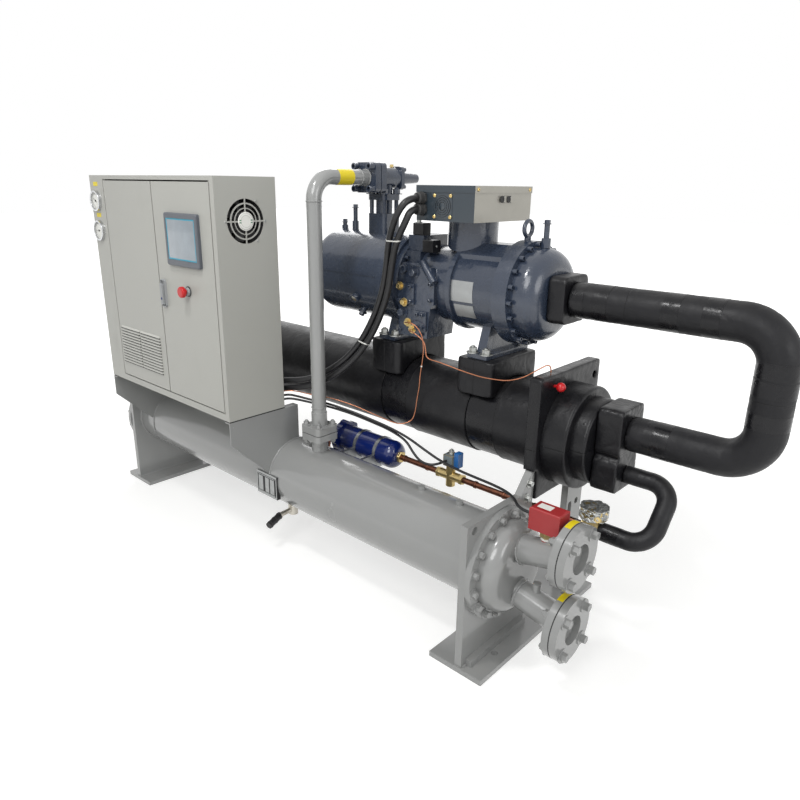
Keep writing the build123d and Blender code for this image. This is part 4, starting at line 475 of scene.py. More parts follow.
def looking(point, direction, turn=0):
    """The place of a form that looks along +Z, set down at a point so that it looks another way."""
    way = Vector(direction).to_track_quat("Z", "Y").to_matrix().to_4x4()
    return Matrix.Translation(Vector(point)) @ way @ Matrix.Rotation(radians(turn), 4, "Z")


def highest():
    """Selects the highest faces that look straight up."""
    shape = bmesh.from_edit_mesh(bpy.context.object.data)
    level = max(f.calc_center_median().z for f in shape.faces if f.normal.z > FLAT)
    pick(lambda centre, normal: normal.z > FLAT and centre.z > level - 1e-6)


def push(distance, way=Z):
    """Extrudes the chosen faces."""
    bpy.ops.mesh.extrude_region_move(TRANSFORM_OT_translate={"value": tuple(Vector(way) * distance)})


def done():
    """Leaves edit mode with faces that point outwards, and returns the piece."""
    bpy.ops.mesh.select_all(action="SELECT")
    bpy.ops.mesh.normals_make_consistent(inside=False)
    bpy.ops.object.mode_set(mode="OBJECT")
    return bpy.context.object


def soften(piece, width, segments=2, angle=35):
    """Rounds a piece's edges."""
    bevel = piece.modifiers.new("Bevel", "BEVEL")
    bevel.width, bevel.segments, bevel.limit_method, bevel.angle_limit = width, segments, "ANGLE", radians(angle)
    bpy.context.view_layer.objects.active = piece
    bpy.ops.object.modifier_apply(modifier="Bevel")
    return piece


def copies(pattern, places):
    """Copies a pattern that looks along +Z to places, given as (point, direction, turn), and joins the copies."""
    made = []
    for point, direction, turn in places:
        mesh = pattern.data.copy()
        mesh.transform(looking(point, direction, turn))
        copy = bpy.data.objects.new(pattern.name, mesh)
        bpy.context.scene.collection.objects.link(copy)
        made.append(copy)
    bpy.data.objects.remove(pattern)
    return together(made)


def together(parts):
    """Joins shaped parts into one piece."""
    bpy.ops.object.select_all(action="DESELECT")
    for part in parts:
        part.select_set(True)
    bpy.context.view_layer.objects.active = parts[0]
    if len(parts) > 1:
        bpy.ops.object.join()
    return bpy.context.object


def fit(piece, name, slot, paint, body="machine", smooth=32):
    """Names a finished piece, gives it its finish, and sets it on its body."""
    bpy.ops.object.select_all(action="DESELECT")
    piece.select_set(True)
    bpy.context.view_layer.objects.active = piece
    bpy.ops.object.transform_apply(location=True, rotation=True, scale=True)
    if smooth:
        bpy.ops.object.shade_smooth_by_angle(angle=radians(smooth))
    piece.name = piece.data.name = name
    piece.data.materials.clear()
    piece.data.materials.append(bpy.data.materials[paint])
    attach(piece, body)
    return piece


def mm(x, y, z):
    """A place in millimetres, as a drawing gives it."""
    return Vector((x, y, z)) / 1000


def ring(centre, axis, radius, count, start=0.0):
    """Places round a circle, each looking along the axis."""
    axis = Vector(axis)
    across = Vector((0, 1, 0)) if abs(axis.y) < 0.9 else Vector((1, 0, 0))
    up = axis.cross(across)
    return [(Vector(centre) + (across * cos(a) + up * sin(a)) * radius, axis, 17 * n)
            for n, a in ((n, radians(start) + 2 * pi * n / count) for n in range(count))]


def corners(centre, one, other, way, turn=0):
    """The corners of a rectangle, as places that look one way."""
    return [(centre + one * i + other * j, way, turn) for i in (-1, 1) for j in (-1, 1)]


def hex_bolt(across, tail=0.0):
    """A hexagon head on its washer, with a stub of thread when it has a tail."""
    head, washer = across * 0.63, across * 0.12
    rod((0, 0, washer + head / 2), across / 3 ** 0.5, head, 6)
    highest()
    insets((across * 0.05, across * 0.035), (across * 0.10, 0), (across * 0.02, -across * 0.02))
    rod((0, 0, washer / 2), across * 0.92, washer, 22, start=also)
    if tail:
        rod((0, 0, washer + head + tail / 2), across * 0.32, tail, 12, start=also)
        highest()
        insets((across * 0.07, across * 0.06))
    return done()


def socket_screw(radius, height):
    """A cylindrical head with a hexagon socket."""
    rod((0, 0, height / 2), radius, height, 18)
    highest()
    insets((radius * 0.10, radius * 0.09), (radius * 0.30, 0))
    push(-height * 0.5)
    return done()


def pan_screw(radius):
    """A low round head with a cross slot."""
    rod((0, 0, radius * 0.15), radius, radius * 0.3, 16)
    highest()
    insets((radius * 0.28, radius * 0.24), (radius * 0.34, 0))
    push(-radius * 0.3)
    return done()


def plate(low, high, edge=0.0):
    """A thin plate or block between two corners, with its outline rounded."""
    low, high = Vector(low), Vector(high)
    piece = begin("cube", (low + high) / 2, size=1)
    bpy.ops.mesh.select_all(action="SELECT")
    stretch(high - low, (low + high) / 2)
    if edge:
        thin = min(range(3), key=lambda a: (high - low)[a])
        pick(lambda centre, way: abs(way[thin]) > 0.99, "EDGE")
        bpy.ops.mesh.bevel(offset=edge, segments=4)
    done()
    return piece


def tube_ring(centre, axis, inner, outer, width, sides=48):
    """A flat ring with a rounded rim, such as a band, collar or gasket."""
    piece = rod((0, 0, 0), outer, width, sides)
    ends()
    insets((outer - inner, 0))
    bpy.ops.mesh.bridge_edge_loops()
    done()
    piece.data.transform(looking(centre, axis))
    return piece


def bead(centre, axis, ring_radius, radius, sides=72):
    """A weld bead laid round a pipe, with its ripples."""
    def ripple(place):
        around = Vector((place.x, place.y, 0)).normalized() * ring_radius
        turn = Vector((1, 0)).angle_signed(around.xy, 0)
        return around + (place - around) * (1 + 0.16 * sin(sides * 0.37 * turn * 2))

    piece = begin("torus", (0, 0, 0), major_radius=ring_radius, minor_radius=radius, major_segments=sides,
                  minor_segments=8)
    reshape(ripple)
    done()
    piece.data.transform(looking(centre, axis))
    return piece


def straight_bead(start, end, radius):
    """A weld bead along a straight corner."""
    def swell(place):
        if 1e-5 < place.z < run.length - 1e-5:
            place.xy = place.xy * (1 + 0.14 * sin(place.z / radius * 2.1))
        return place

    run = Vector(end) - Vector(start)
    steps = max(6, int(run.length / (radius * 1.4)))
    piece = rod((0, 0, run.length / 2), radius, run.length, 8)
    pick(lambda centre, way: abs(way.z) > 0.99, "EDGE")
    bpy.ops.mesh.subdivide(number_cuts=steps)
    reshape(swell)
    done()
    piece.data.transform(looking(start, run))
    return piece


def along(points, diameter, name, finish):
    """A cable or tube through given points in millimetres, held at both ends."""
    line = bpy.data.curves.new(name, "CURVE")
    line.dimensions, line.bevel_depth, line.bevel_resolution, line.use_fill_caps = "3D", diameter / 2, 5, True
    line.resolution_u = 12
    spline = line.splines.new("NURBS")
    spline.points.add(len(points) - 1)
    for point, place in zip(spline.points, points):
        point.co = (*mm(*place), 1)
    spline.order_u, spline.use_endpoint_u = 3, True
    cable = bpy.data.objects.new(name, line)
    bpy.context.scene.collection.objects.link(cable)
    line.materials.append(bpy.data.materials[finish])
    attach(cable, "machine")
    return cable


def padded(name, finish, voxel, rounding, swelling, creases, scale):
    """Foam in the place of a wrapped CAD piece: rounded edges, soft swelling and pressed-in creases."""
    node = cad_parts[name]
    piece = bpy.data.objects.new(name + "_foam", node.data.copy())
    bpy.context.scene.collection.objects.link(piece)
    bpy.ops.object.select_all(action="DESELECT")
    piece.select_set(True)
    bpy.context.view_layer.objects.active = piece
    bpy.ops.object.mode_set(mode="EDIT")
    bpy.ops.mesh.select_all(action="SELECT")
    bpy.ops.mesh.remove_doubles(threshold=0.00002)
    bpy.ops.object.mode_set(mode="OBJECT")
    for kind, settings in (("REMESH", {"mode": "VOXEL", "voxel_size": voxel}),
                           ("SMOOTH", {"factor": 0.5, "iterations": rounding})):
        step = piece.modifiers.new(kind.title(), kind)
        for key, value in settings.items():
            setattr(step, key, value)
        bpy.ops.object.modifier_apply(modifier=step.name)
    normals = [vertex.normal.copy() for vertex in piece.data.vertices]
    for vertex, normal in zip(piece.data.vertices, normals):
        slow = noise.noise(vertex.co * scale)
        fold = max(0.0, 1 - abs(noise.noise(vertex.co * scale * 1.9 + Vector((7, 3, 5)))) * 9)
        vertex.co -= normal * (swelling * (0.7 + 0.7 * slow) + creases * fold)
    fit(piece, name + "_foam", "insulation", finish, smooth=60)
    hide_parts(name)
    return piece


class Step:
    """What every step's operator shares."""

    bl_options = {"REGISTER", "UNDO"}

    def execute(self, context):
        self.sizes, self.colours = context.scene.chiller_sizes, context.scene.chiller_colours
        self.make()
        return {"FINISHED"}


# ------------------------------------------------------------------ camera and cables


class CHILLER_OT_camera(Step, bpy.types.Operator):
    """Sets the camera where the machine is seen from its right front corner"""

    bl_idname = "chiller.camera"
    bl_label = "Camera"

    def make(self):
        yaw, pitch, roll = radians(42.155), radians(18.105), radians(0.812)
        ahead = Vector((-sin(yaw) * cos(pitch), cos(yaw) * cos(pitch), -sin(pitch)))
        level = Vector((cos(yaw), sin(yaw), 0))
        upright = level.cross(ahead)
        right = level * cos(roll) + upright * sin(roll)
        above = upright * cos(roll) - level * sin(roll)
        lens = bpy.data.cameras.new("camera")
        lens.lens, lens.sensor_width, lens.clip_end = 29.66, 36, 60
        camera = bpy.data.objects.new("camera", lens)
        bpy.context.scene.collection.objects.link(camera)
        place = Matrix((right, above, -ahead)).transposed().to_4x4()
        camera.matrix_world = Matrix.Translation(mm(1997.3, -1722.9, 1430.5)) @ place
        bpy.context.scene.camera = camera


class CHILLER_OT_cables(Step, bpy.types.Operator):
    """Lays the power cables, the control cables and the capillary tubes"""

    bl_idname = "chiller.cables"
    bl_label = "Cables and capillary tubes"

    def make(self):
        power, control, thin = self.sizes.power_cable, self.sizes.control_cable, self.sizes.capillary
        outer = along([(517, -14, 1389), (517, -60, 1389), (494, -84, 1350), (455, -74, 1290), (420, -52, 1232),
                       (396, -34, 1160), (374, -26, 1083), (342, -24, 1004), (303, -26, 932), (262, -36, 863),
                       (214, -66, 796), (150, -106, 742), (84, -150, 706), (-24, -187, 690), (-24, -221, 690)],
                      power, "power_cable_outer", "cable")
        along([(517, -14, 1354), (517, -48, 1354), (504, -60, 1314), (474, -58, 1266), (446, -50, 1216),
               (422, -38, 1148), (400, -28, 1074), (368, -26, 994), (330, -28, 920), (288, -40, 850),
               (238, -72, 780), (172, -112, 722), (96, -156, 680), (-24, -187, 660), (-24, -221, 660)],
              power, "power_cable_inner", "cable")
        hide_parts("power_cables")
        switch = along([(14, -221, 642), (14, -191, 642), (56, -174, 639), (108, -158, 634), (172, -126, 626),
                        (262, -86, 606), (350, -60, 586), (430, -50, 574), (518, -46, 558), (600, -46, 532),
                        (680, -52, 514), (766, -60, 508), (850, -74, 512), (928, -90, 518), (989, -108, 522),
                        (1036, -134, 524), (1078, -175, 520), (1117, -175, 520)],
                       control, "switch_cable", "cable")
        along([(14, -221, 626), (14, -191, 626), (56, -170, 624), (108, -152, 620), (172, -120, 612),
               (262, -80, 594), (350, -54, 574), (430, -44, 562), (508, -42, 542), (550, -50, 508),
               (592, -58, 488), (634, -56, 486), (662, -36, 493), (662, 4, 493)],
              control, "valve_cable", "cable")
        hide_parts("control_cable")
        down = along([(444, 30, 960), (444, 6, 960), (474, -4, 970), (508, 0, 962), (532, 6, 930),
                      (538, 10, 885), (532, 12, 835), (522, 12, 782), (520, 12, 736), (510, 12, 688),
                      (506, 10, 640), (499, 0, 604), (470, -26, 590), (430, -38, 592), (350, -46, 604),
                      (262, -70, 626), (172, -112, 646), (108, -156, 654), (56, -168, 657), (14, -191, 658),
                      (14, -221, 658)],
                     thin, "capillary_down", "bright_copper")
        along([(466, 30, 938), (466, 2, 938), (502, -6, 938), (548, 0, 912), (553, 2, 880),
               (558, 2, 851), (608, 6, 848), (656, 12, 840), (698, 16, 833), (742, 17, 829),
               (785, 16, 827), (835, 17, 829), (885, 18, 834), (940, 24, 854), (980, 44, 886),
               (1009, 72, 908), (1009, 72, 875)],
              thin, "capillary_across", "bright_copper")
        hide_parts("capillary_tubes")


# ------------------------------------------------------------------ finishes of the CAD pieces


class CHILLER_OT_finishes(Step, bpy.types.Operator):
    """Makes the finishes and gives each CAD piece its own"""

    bl_idname = "chiller.finishes"
    bl_label = "Finishes"

    def make(self):
        c = self.colours
        enamel("vessel_enamel", c.vessel)
        powder_coat("cabinet_coat", c.cabinet)
        painted_casting("casting_paint", c.casting)
        painted_casting("machined_paint", c.casting, 0.06, 0.20)
        steps = [("X", 0.312), ("X", 0.443), ("X", 0.716), ("X", 0.834)]
        foam_wrap("shell_wrap", c.foam, [(0.312, 0.443), (0.716, 0.834), (-0.52, -0.40)],
                  steps + [("X", -0.52), ("X", -0.40), ("X", -0.05)])
        foam_wrap("plate_wrap", c.foam, [(-1.02, -1.0), (1.0, 1.02)], [("Z", 0.640)], 0.26)
        foam_wrap("cover_wrap", c.foam, (), [("Y", 0.175), ("Z", 0.655)], 0.28)
        foam_wrap("pipe_wrap", c.foam, [(1.06, 1.10), (1.30, 1.335)], [("X", 1.20), ("Z", 0.90), ("Y", 0.175)], 0.42)
        foam_wrap("seat_wrap", c.foam, (), [("X", 0.325), ("X", 0.740)], 0.30)
        rubber("rubber", c.rubber)
        enamel("drier_enamel", c.drier, 0.14, 0.05)
        moulded("switch_plastic", c.switch, 0.34)
        moulded("grey_plastic", c.plastic, 0.40)
        moulded("bezel_plastic", c.bezel, 0.36)
        moulded("stop_plastic", c.stop, 0.28, 0.03)
        moulded("black_plastic", c.rubber, 0.42)
        moulded("cable", c.cable, 0.40, 0.06)
        moulded("coil_plastic", c.cable, 0.30, 0.05)
        moulded("coil_grey", c.coil, 0.42)
        moulded("coil_blue", c.coil_cap, 0.30, 0.04)
        moulded("white_plastic", c.dial, 0.36, 0.05)
        bare_metal("brass", c.brass, 0.28, 0.5, (0.16, 0.09, 0.04, 1), 55)
        bare_metal("dark_copper", c.copper, 0.34, 0.85, (0.045, 0.026, 0.022, 1), 42)
        bare_metal("bright_copper", c.bright_copper, 0.30, 0.35, (0.22, 0.10, 0.06, 1), 60)
        bare_metal("zinc", c.bolt, 0.34, 0.35, (0.30, 0.27, 0.20, 1), 120)
        bare_metal("chrome", c.chrome, 0.12, 0.12, (0.4, 0.4, 0.4, 1), 40)
        bare_metal("strap_steel", c.plate, 0.30, 0.25, (0.25, 0.24, 0.22, 1), 70, (1, 1, 0.05))
        bare_metal("plate_steel", c.plate, 0.36, 0.3, (0.28, 0.27, 0.25, 1), 60, (0.08, 1, 1))
        moulded("slot_shade", (0.010, 0.010, 0.011), 0.6)
        painted_casting("guard_paint", c.terminal, 0.05, 0.26)
        bare_metal("plate_sheet", c.plate, 0.42, 0.12, (0.42, 0.41, 0.40, 1), 40)
        label_stock("yellow_label", c.label)
        label_stock("white_label", c.dial)
        self.line_paint()
        self.terminal_paint()
        self.screen_paint()
        self.sight_paint()
        chosen = {
            "vessel_enamel": ("foot_right", "foot_left", "tubesheet_right", "tubesheet_left", "condenser_shell",
                              "end_cover_right", "end_cover_left", "counter_flange_upper",
                              "counter_flange_lower", "square_flanges", "discharge_pipe", "cabinet_brackets",
                              "evaporator_nozzles", "evaporator_supports"),
            "cabinet_coat": ("cabinet_base", "cabinet_roof", "cabinet_rear", "cabinet_sides", "cabinet_front",
                             "door_left", "door_right"),
            "casting_paint": ("discharge_valve", "oil_separator", "compressor_body", "motor_housing",
                              "motor_end_cover", "compressor_feet", "compressor_fittings"),
            "terminal_paint": ("terminal_box", "terminal_lid"),
            "shell_wrap": ("evaporator_shell",),
            "plate_wrap": ("evaporator_plates",),
            "cover_wrap": ("evaporator_cover_right", "evaporator_cover_left", "header_boxes"),
            "pipe_wrap": ("suction_pipe", "suction_valve", "liquid_pipe"),
            "seat_wrap": ("compressor_seats",),
            "rubber": ("rubber_strips", "flange_gaskets"),
            "drier_enamel": ("filter_drier",),
            "switch_plastic": ("flow_switch",),
            "brass": ("solenoid_valve", "expansion_valve"),
            "line_metal": ("liquid_line",),
            "dark_copper": ("capillary_tubes",),
            "grey_plastic": ("stop_collar", "latch_plate", "latch_lever"),
            "bezel_plastic": ("touch_screen",),
            "stop_plastic": ("stop_button",),
            "chrome": ("pressure_gauges",),
            "plate_steel": ("plate_frame",),
            "black_plastic": ("fan_frame", "fan_rotor"),
            "cable": ("power_cables", "control_cable"),
            "coil_plastic": ("solenoid_coils",),
            "strap_steel": ("drier_brackets",),
        }
        for paint, names in chosen.items():
            for name in names:
                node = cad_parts[name]
                node.data.materials.clear()
                node.data.materials.append(bpy.data.materials[paint])
                for face in node.data.polygons:
                    face.material_index = 0

    def line_paint(self):
        """Brazed copper, with the nickel body and the black cap of the outlet valve at its front end."""
        paint = Paint("line_metal", self.colours.copper, 0.34, metallic=1.0)
        y = paint.axis("Y")
        valve = paint.between(y, -0.100, -0.098, 1, 0)
        cap = paint.between(y, -0.256, -0.254, 1, 0)
        tarnish = paint.between(paint.noise(42, 6), 0.42, 0.74)
        copper = paint.shade(tarnish * 0.85, paint.vary(18, 0.12), (0.045, 0.026, 0.022, 1))
        nickel = paint.shade(tarnish * 0.5, (0.56, 0.53, 0.47, 1), (0.20, 0.17, 0.13, 1))
        base = paint.shade(valve, copper, nickel)
        paint.put("Base Color", paint.shade(cap, base, (0.012, 0.012, 0.013, 1)))
        paint.put("Metallic", 1 - cap)
        paint.put("Roughness", 0.32 + tarnish * 0.22 + cap * 0.10)
        paint.put("Normal", paint.relief(paint.noise(260, 2), 0.12, 0.0005))

    def terminal_paint(self):
        """Slate green paint on the front and sides, bare sheet on the end that faces +X."""
        paint = Paint("terminal_paint", self.colours.terminal, 0.30, coat=0.3)
        end = paint.between(paint.facing("X"), 0.6, 0.9)
        sheet = self.colours.galvanised
        bare = paint.shade(paint.noise(16, 5), tuple(0.86 * part for part in sheet) + (1,), tuple(sheet) + (1,))
        smudge = paint.between(paint.noise(9, 6), 0.58, 0.75) * 0.35
        bare = paint.shade(smudge, bare, (0.30, 0.28, 0.24, 1))
        paint.put("Base Color", paint.shade(end, dusty(paint, paint.vary(5, 0.08), 0.15), bare))
        paint.put("Roughness", 0.28 + paint.noise(30, 4) * 0.14 + end * 0.08)
        paint.put("Metallic", end * 0.25)
        paint.put("Normal", paint.relief(paint.noise(340, 2), 0.12, 0.0006))

    def screen_paint(self):
        """Pale grey glass of a screen that is switched off, with faint wiping marks."""
        paint = Paint("screen_glass", self.colours.screen, 0.14, coat=0.7, coat_roughness=0.05)
        cloud = paint.between(paint.noise(7, 3), 0.30, 0.72)
        smear = paint.between(paint.noise(26, 5, 0.6, (1, 1, 0.4)), 0.52, 0.70)
        base = paint.shade(cloud, paint.tint(0.86), paint.tint(1.12))
        paint.put("Base Color", paint.shade(smear * 0.25, base, paint.tint(1.3)))
        paint.put("Roughness", 0.12 + smear * 0.12)

    def sight_paint(self):
        """Clear oil sight glass over a pale bowl."""
        paint = Paint("sight_glass", (0.55, 0.52, 0.40), 0.08, coat=1.0)
        paint.put("Base Color", paint.shade(paint.between(paint.axis("Z"), 1.012, 1.020), (0.10, 0.07, 0.03, 1),
                                            (0.62, 0.60, 0.52, 1)))
        paint.put("Roughness", 0.06 + paint.noise(60, 2) * 0.06)


# ------------------------------------------------------------------ fasteners


class CHILLER_OT_cover_bolts(Step, bpy.types.Operator):
    """Bolts the water covers to the tube sheets"""

    bl_idname = "chiller.cover_bolts"
    bl_label = "Cover bolts"

    def make(self):
        places = []
        for side in (1, -1):
            places += ring(mm(side * 1042, *CONDENSER), X * side, 0.1635, 16, -11)
        fit(copies(hex_bolt(self.sizes.cover_bolt), places), "cover_bolts", *VESSEL)


class CHILLER_OT_flange_bolts(Step, bpy.types.Operator):
    """Bolts through the water flanges, the square flanges and the plates"""

    bl_idname = "chiller.flange_bolts"
    bl_label = "Flange bolts"

    def make(self):
        size = self.sizes.flange_bolt
        heads, nuts = [], []
        for centre_z in FLANGE_HEIGHTS:
            heads += ring(mm(1290, -175, centre_z), X, 0.080, 4, 45)
            nuts += ring(mm(1242, -175, centre_z), -X, 0.080, 4, 45)
        fit(copies(hex_bolt(size), heads), "water_flange_bolts", *VESSEL)
        fit(copies(hex_bolt(size * 0.98, 0.006), nuts), "water_flange_nuts", *VESSEL)
        rings = [tube_ring(mm(1265.5, -175, centre_z), X, 0.0920, 0.1001, 0.0042, 72) for centre_z in FLANGE_HEIGHTS]
        fit(soften(together(rings), 0.0005), "gasket_rims", "rubber", "rubber")
        back = []
        for centre_x in (-880, 880):
            back += ring(mm(centre_x, 393, 655), -Y, 0.080, 4, 45)
        fit(copies(hex_bolt(size), back), "evaporator_flange_nuts", *ZINC)
        upper = corners(mm(*DISCHARGE, 554), X * 0.035, Y * 0.035, Z, 13)
        lower = corners(mm(*DISCHARGE, 501), X * 0.035, Y * 0.035, -Z, 13)
        fit(copies(hex_bolt(0.019, 0.005), upper + lower), "square_flange_bolts", *VESSEL)
        studs = corners(mm(VALVE_X, 175, 1395), X * 0.033, Y * 0.033, Z, 9)
        fit(copies(hex_bolt(0.024, 0.005), studs), "valve_stud_nuts", *CASTING)
        feet = [place for x in (325, 740) for place in corners(mm(x, 175, 891), X * 0.027, Y * 0.113, Z, 21)]
        fit(copies(hex_bolt(self.sizes.foot_bolt, 0.004), feet), "foot_bolts", *ZINC)
        gusset = [(mm(side * 1022, y, z), X * side, 11) for side in (1, -1)
                  for y, z in ((-39, 486), (-125, 466), (-28, 534))]
        fit(copies(hex_bolt(0.017), gusset), "gusset_bolts", *ZINC)
        lobes = ring(mm(97, *LIQUID_LINE), -X, 0.0595, 8, 0)
        fit(copies(hex_bolt(0.013), lobes), "drier_flange_bolts", *ZINC)


class CHILLER_OT_socket_screws(Step, bpy.types.Operator):
    """Socket screws round the compressor's flanges and the stop valve"""

    bl_idname = "chiller.socket_screws"
    bl_label = "Socket screws"

    def make(self):
        radius = self.sizes.cap_screw
        around = ring(mm(867, *COMPRESSOR), X, 0.160, 20, 4)
        around += ring(mm(399, *COMPRESSOR), X, 0.1435, 16, 7)
        fit(copies(socket_screw(radius, 0.015), around), "flange_screws", *CASTING)
        radius = self.sizes.port_screw
        port = corners(mm(VALVE_X, 76, VALVE_Z), X * 0.039, Z * 0.039, -Y)
        fit(copies(socket_screw(radius, 0.024), port), "port_screws", *CASTING)
        bonnet = corners(mm(VALVE_X, 244, VALVE_Z), X * 0.031, Z * 0.031, Y)
        fit(copies(socket_screw(0.0075, 0.012), bonnet), "bonnet_screws", *CASTING)
        face = [(mm(x, y, z), -Y, 0) for x, y, z in ((495, 22, 996), (517, 22, 996), (495, 22, 952), (517, 22, 952),
                                                     (410, 22, 1038), (462, 22, 1038), (462, 22, 1090),
                                                     (410, 30, 930), (510, 30, 925), (545, 30, 1105),
                                                     (545, 30, 1050))]
        fit(copies(socket_screw(0.0068, 0.010), face), "control_block_screws", *CASTING)


# ------------------------------------------------------------------ cabinet


class CHILLER_OT_gauge_dials(Step, bpy.types.Operator):
    """Puts a dial, a pointer and a glass edge into each pressure gauge"""

    bl_idname = "chiller.gauge_dials"
    bl_label = "Gauge dials"

    def make(self):
        paint = Paint("dial_face", self.colours.dial, 0.30)
        x, z = paint.axis("X") - GAUGE_X / 1000, paint.axis("Z")
        upper = z > 1.29
        z = z - (1.232 + upper * 0.118)
        radius = paint.maths("SQRT", x * x + z * z)
        angle = paint.maths("ARCTAN2", x, z) / (2 * pi)
        scale = paint.between(abs(angle), 0.375, 0.378, 1, 0)
        small = paint.between(abs(paint.maths("FRACT", angle * 40 + 0.5) - 0.5), 0.10, 0.16, 1, 0)
        large = paint.between(abs(paint.maths("FRACT", angle * 8 + 0.5) - 0.5), 0.030, 0.045, 1, 0)
        marks = scale * (small * paint.band(radius, 0.0265, 0.0300, 0.0003)
                         + large * paint.band(radius, 0.0235, 0.0300, 0.0003))
        arc = scale * paint.band(radius, 0.0305, 0.0315, 0.0003)
        red = paint.between(angle, 0.24, 0.242) * scale * paint.band(radius, 0.0318, 0.0332, 0.0003)
        base = paint.shade(paint.maths("MINIMUM", marks + arc, 1), paint.vary(30, 0.03), (0.02, 0.02, 0.025, 1))
        base = paint.shade(red, base, (0.65, 0.03, 0.02, 1))
        paint.put("Base Color", base)
        paint.put("Roughness", 0.22 + paint.noise(60, 2) * 0.10)
        dials, pointers, bezels = [], [], []
        for height, turn in GAUGES:
            rod(mm(GAUGE_X, -477.6, height), 0.0346, 0.001, 48, (pi / 2, 0, 0))
            facing(-Y)
            insets((0.0008, 0.0003))
            dials.append(done())
            begin("cube", (0, 0, 0), size=1)
            stretch((0.0016, 0.0008, 0.034))
            facing(Z)
            stretch((0.3, 1, 1), (0, 0, 0.017))
            rod((0, 0, -0.006), 0.0040, 0.0016, 20, (pi / 2, 0, 0), start=also)
            pointer = done()
            place = Matrix.Translation(mm(GAUGE_X, -479.2, height)) @ Matrix.Rotation(radians(turn), 4, "Y")
            pointer.data.transform(place @ Matrix.Translation((0, 0, 0.006)))
            pointers.append(pointer)
            rim = tube_ring(mm(GAUGE_X, -483.2, height), -Y, 0.0338, 0.0405, 0.0026, 64)
            bezels.append(soften(rim, 0.0009, 3))
        fit(together(dials), "gauge_dials", "gauge_chrome", "dial_face")
        fit(together(pointers), "gauge_pointers", *BLACK)
        fit(together(bezels), "gauge_bezels", "gauge_chrome", "chrome")


class CHILLER_OT_door_fittings(Step, bpy.types.Operator):
    """Screen glass, screen frame, latch and stop details on the right door"""

    bl_idname = "chiller.door_fittings"
    bl_label = "Door fittings"
    LOUVRE_COLUMNS, LOUVRE_ROWS = (-741, -577), 13  # where the CAD has its louvres, in millimetres
    LOUVRE_LOW, LOUVRE_PITCH = 690, 12.2

    def make(self):
        moulded("teal_frame", self.colours.teal, 0.32, 0.04)
        frame_piece = plate(mm(-268.7, -484.2, 1162.3), mm(-81.3, -483.0, 1306.7))
        bpy.ops.object.mode_set(mode="EDIT")
        facing(-Y)
        insets((0.0050, 0))
        push(0.0007, Y)
        done()
        fit(soften(frame_piece, 0.0003, 1), "screen_frame", "grey_plastic", "teal_frame", "right_leaf")
        glass = plate(mm(-263.6, -483.9, 1167.4), mm(-86.4, -483.2, 1301.6))
        bpy.ops.object.mode_set(mode="EDIT")
        facing(-Y)
        insets((0.0010, 0.0002))
        done()
        fit(glass, "screen_glass_face", "grey_plastic", "screen_glass", "right_leaf")
        insert = rod(mm(-345, -488.3, 1008), 0.0050, 0.0018, 28, (pi / 2, 0, 0))
        facing(-Y)
        insets((0.0010, 0.0003), (0.0022, 0))
        push(0.0006, Y)
        done()
        moulded("latch_blue", self.colours.drier, 0.3, 0.03)
        fit(insert, "latch_button", "drier_blue", "latch_blue", "latch")
        collar = tube_ring(mm(-175, -472.6, 1052), -Y, 0.0152, 0.0190, 0.0022, 56)
        fit(soften(collar, 0.0006), "stop_ring", *BLACK, "right_leaf")
        self.louvres()

    def louvres(self):
        """Pressed louvre blades on the left door, in a lighter copy of the cabinet coat that paints the light falling
        on them from above, with near-black strips of painted shade under them.
        """
        # The blades' coat is the cabinet coat made 1.32 times lighter: a painted highlight for the light from above.
        powder_coat("louvre_coat", tuple(min(1, part * 1.32) for part in self.colours.cabinet))
        blades, slots = [], []
        for left in self.LOUVRE_COLUMNS:
            for row in range(self.LOUVRE_ROWS):
                low = self.LOUVRE_LOW + row * self.LOUVRE_PITCH
                middle = mm(left + 78, -473.2, low + 5.3)
                begin("cube", middle, size=1)
                stretch((0.1566, 0.0068, 0.0078), middle)
                pick(lambda centre, way: abs(way.x) > FLAT and centre.y < -0.4745 and centre.z * 1000 > low + 5,
                     "EDGE")
                bpy.ops.transform.translate(value=(0, 0.0052, 0))
                pick(lambda centre, way: abs(way.x) > FLAT and centre.y < -0.4745, "EDGE")
                bpy.ops.mesh.bevel(offset=0.0011, segments=2)
                blades.append(done())
                # Near-black plates of painted shade: one on the door face between the blades, one under each blade's
                # lip, where each blade's shadow falls.
                slots.append(plate(mm(left - 0.5, -471.6, low - 3.4), mm(left + 156.5, -470.8, low + 0.4)))
                slots.append(plate(mm(left - 0.5, -476.5, low - 0.6), mm(left + 156.5, -470.8, low + 2.0)))
        fit(together(blades), "louvre_blades", "cabinet_paint", "louvre_coat", "left_leaf")
        fit(together(slots), "louvre_slots", *SHADE, "left_leaf")


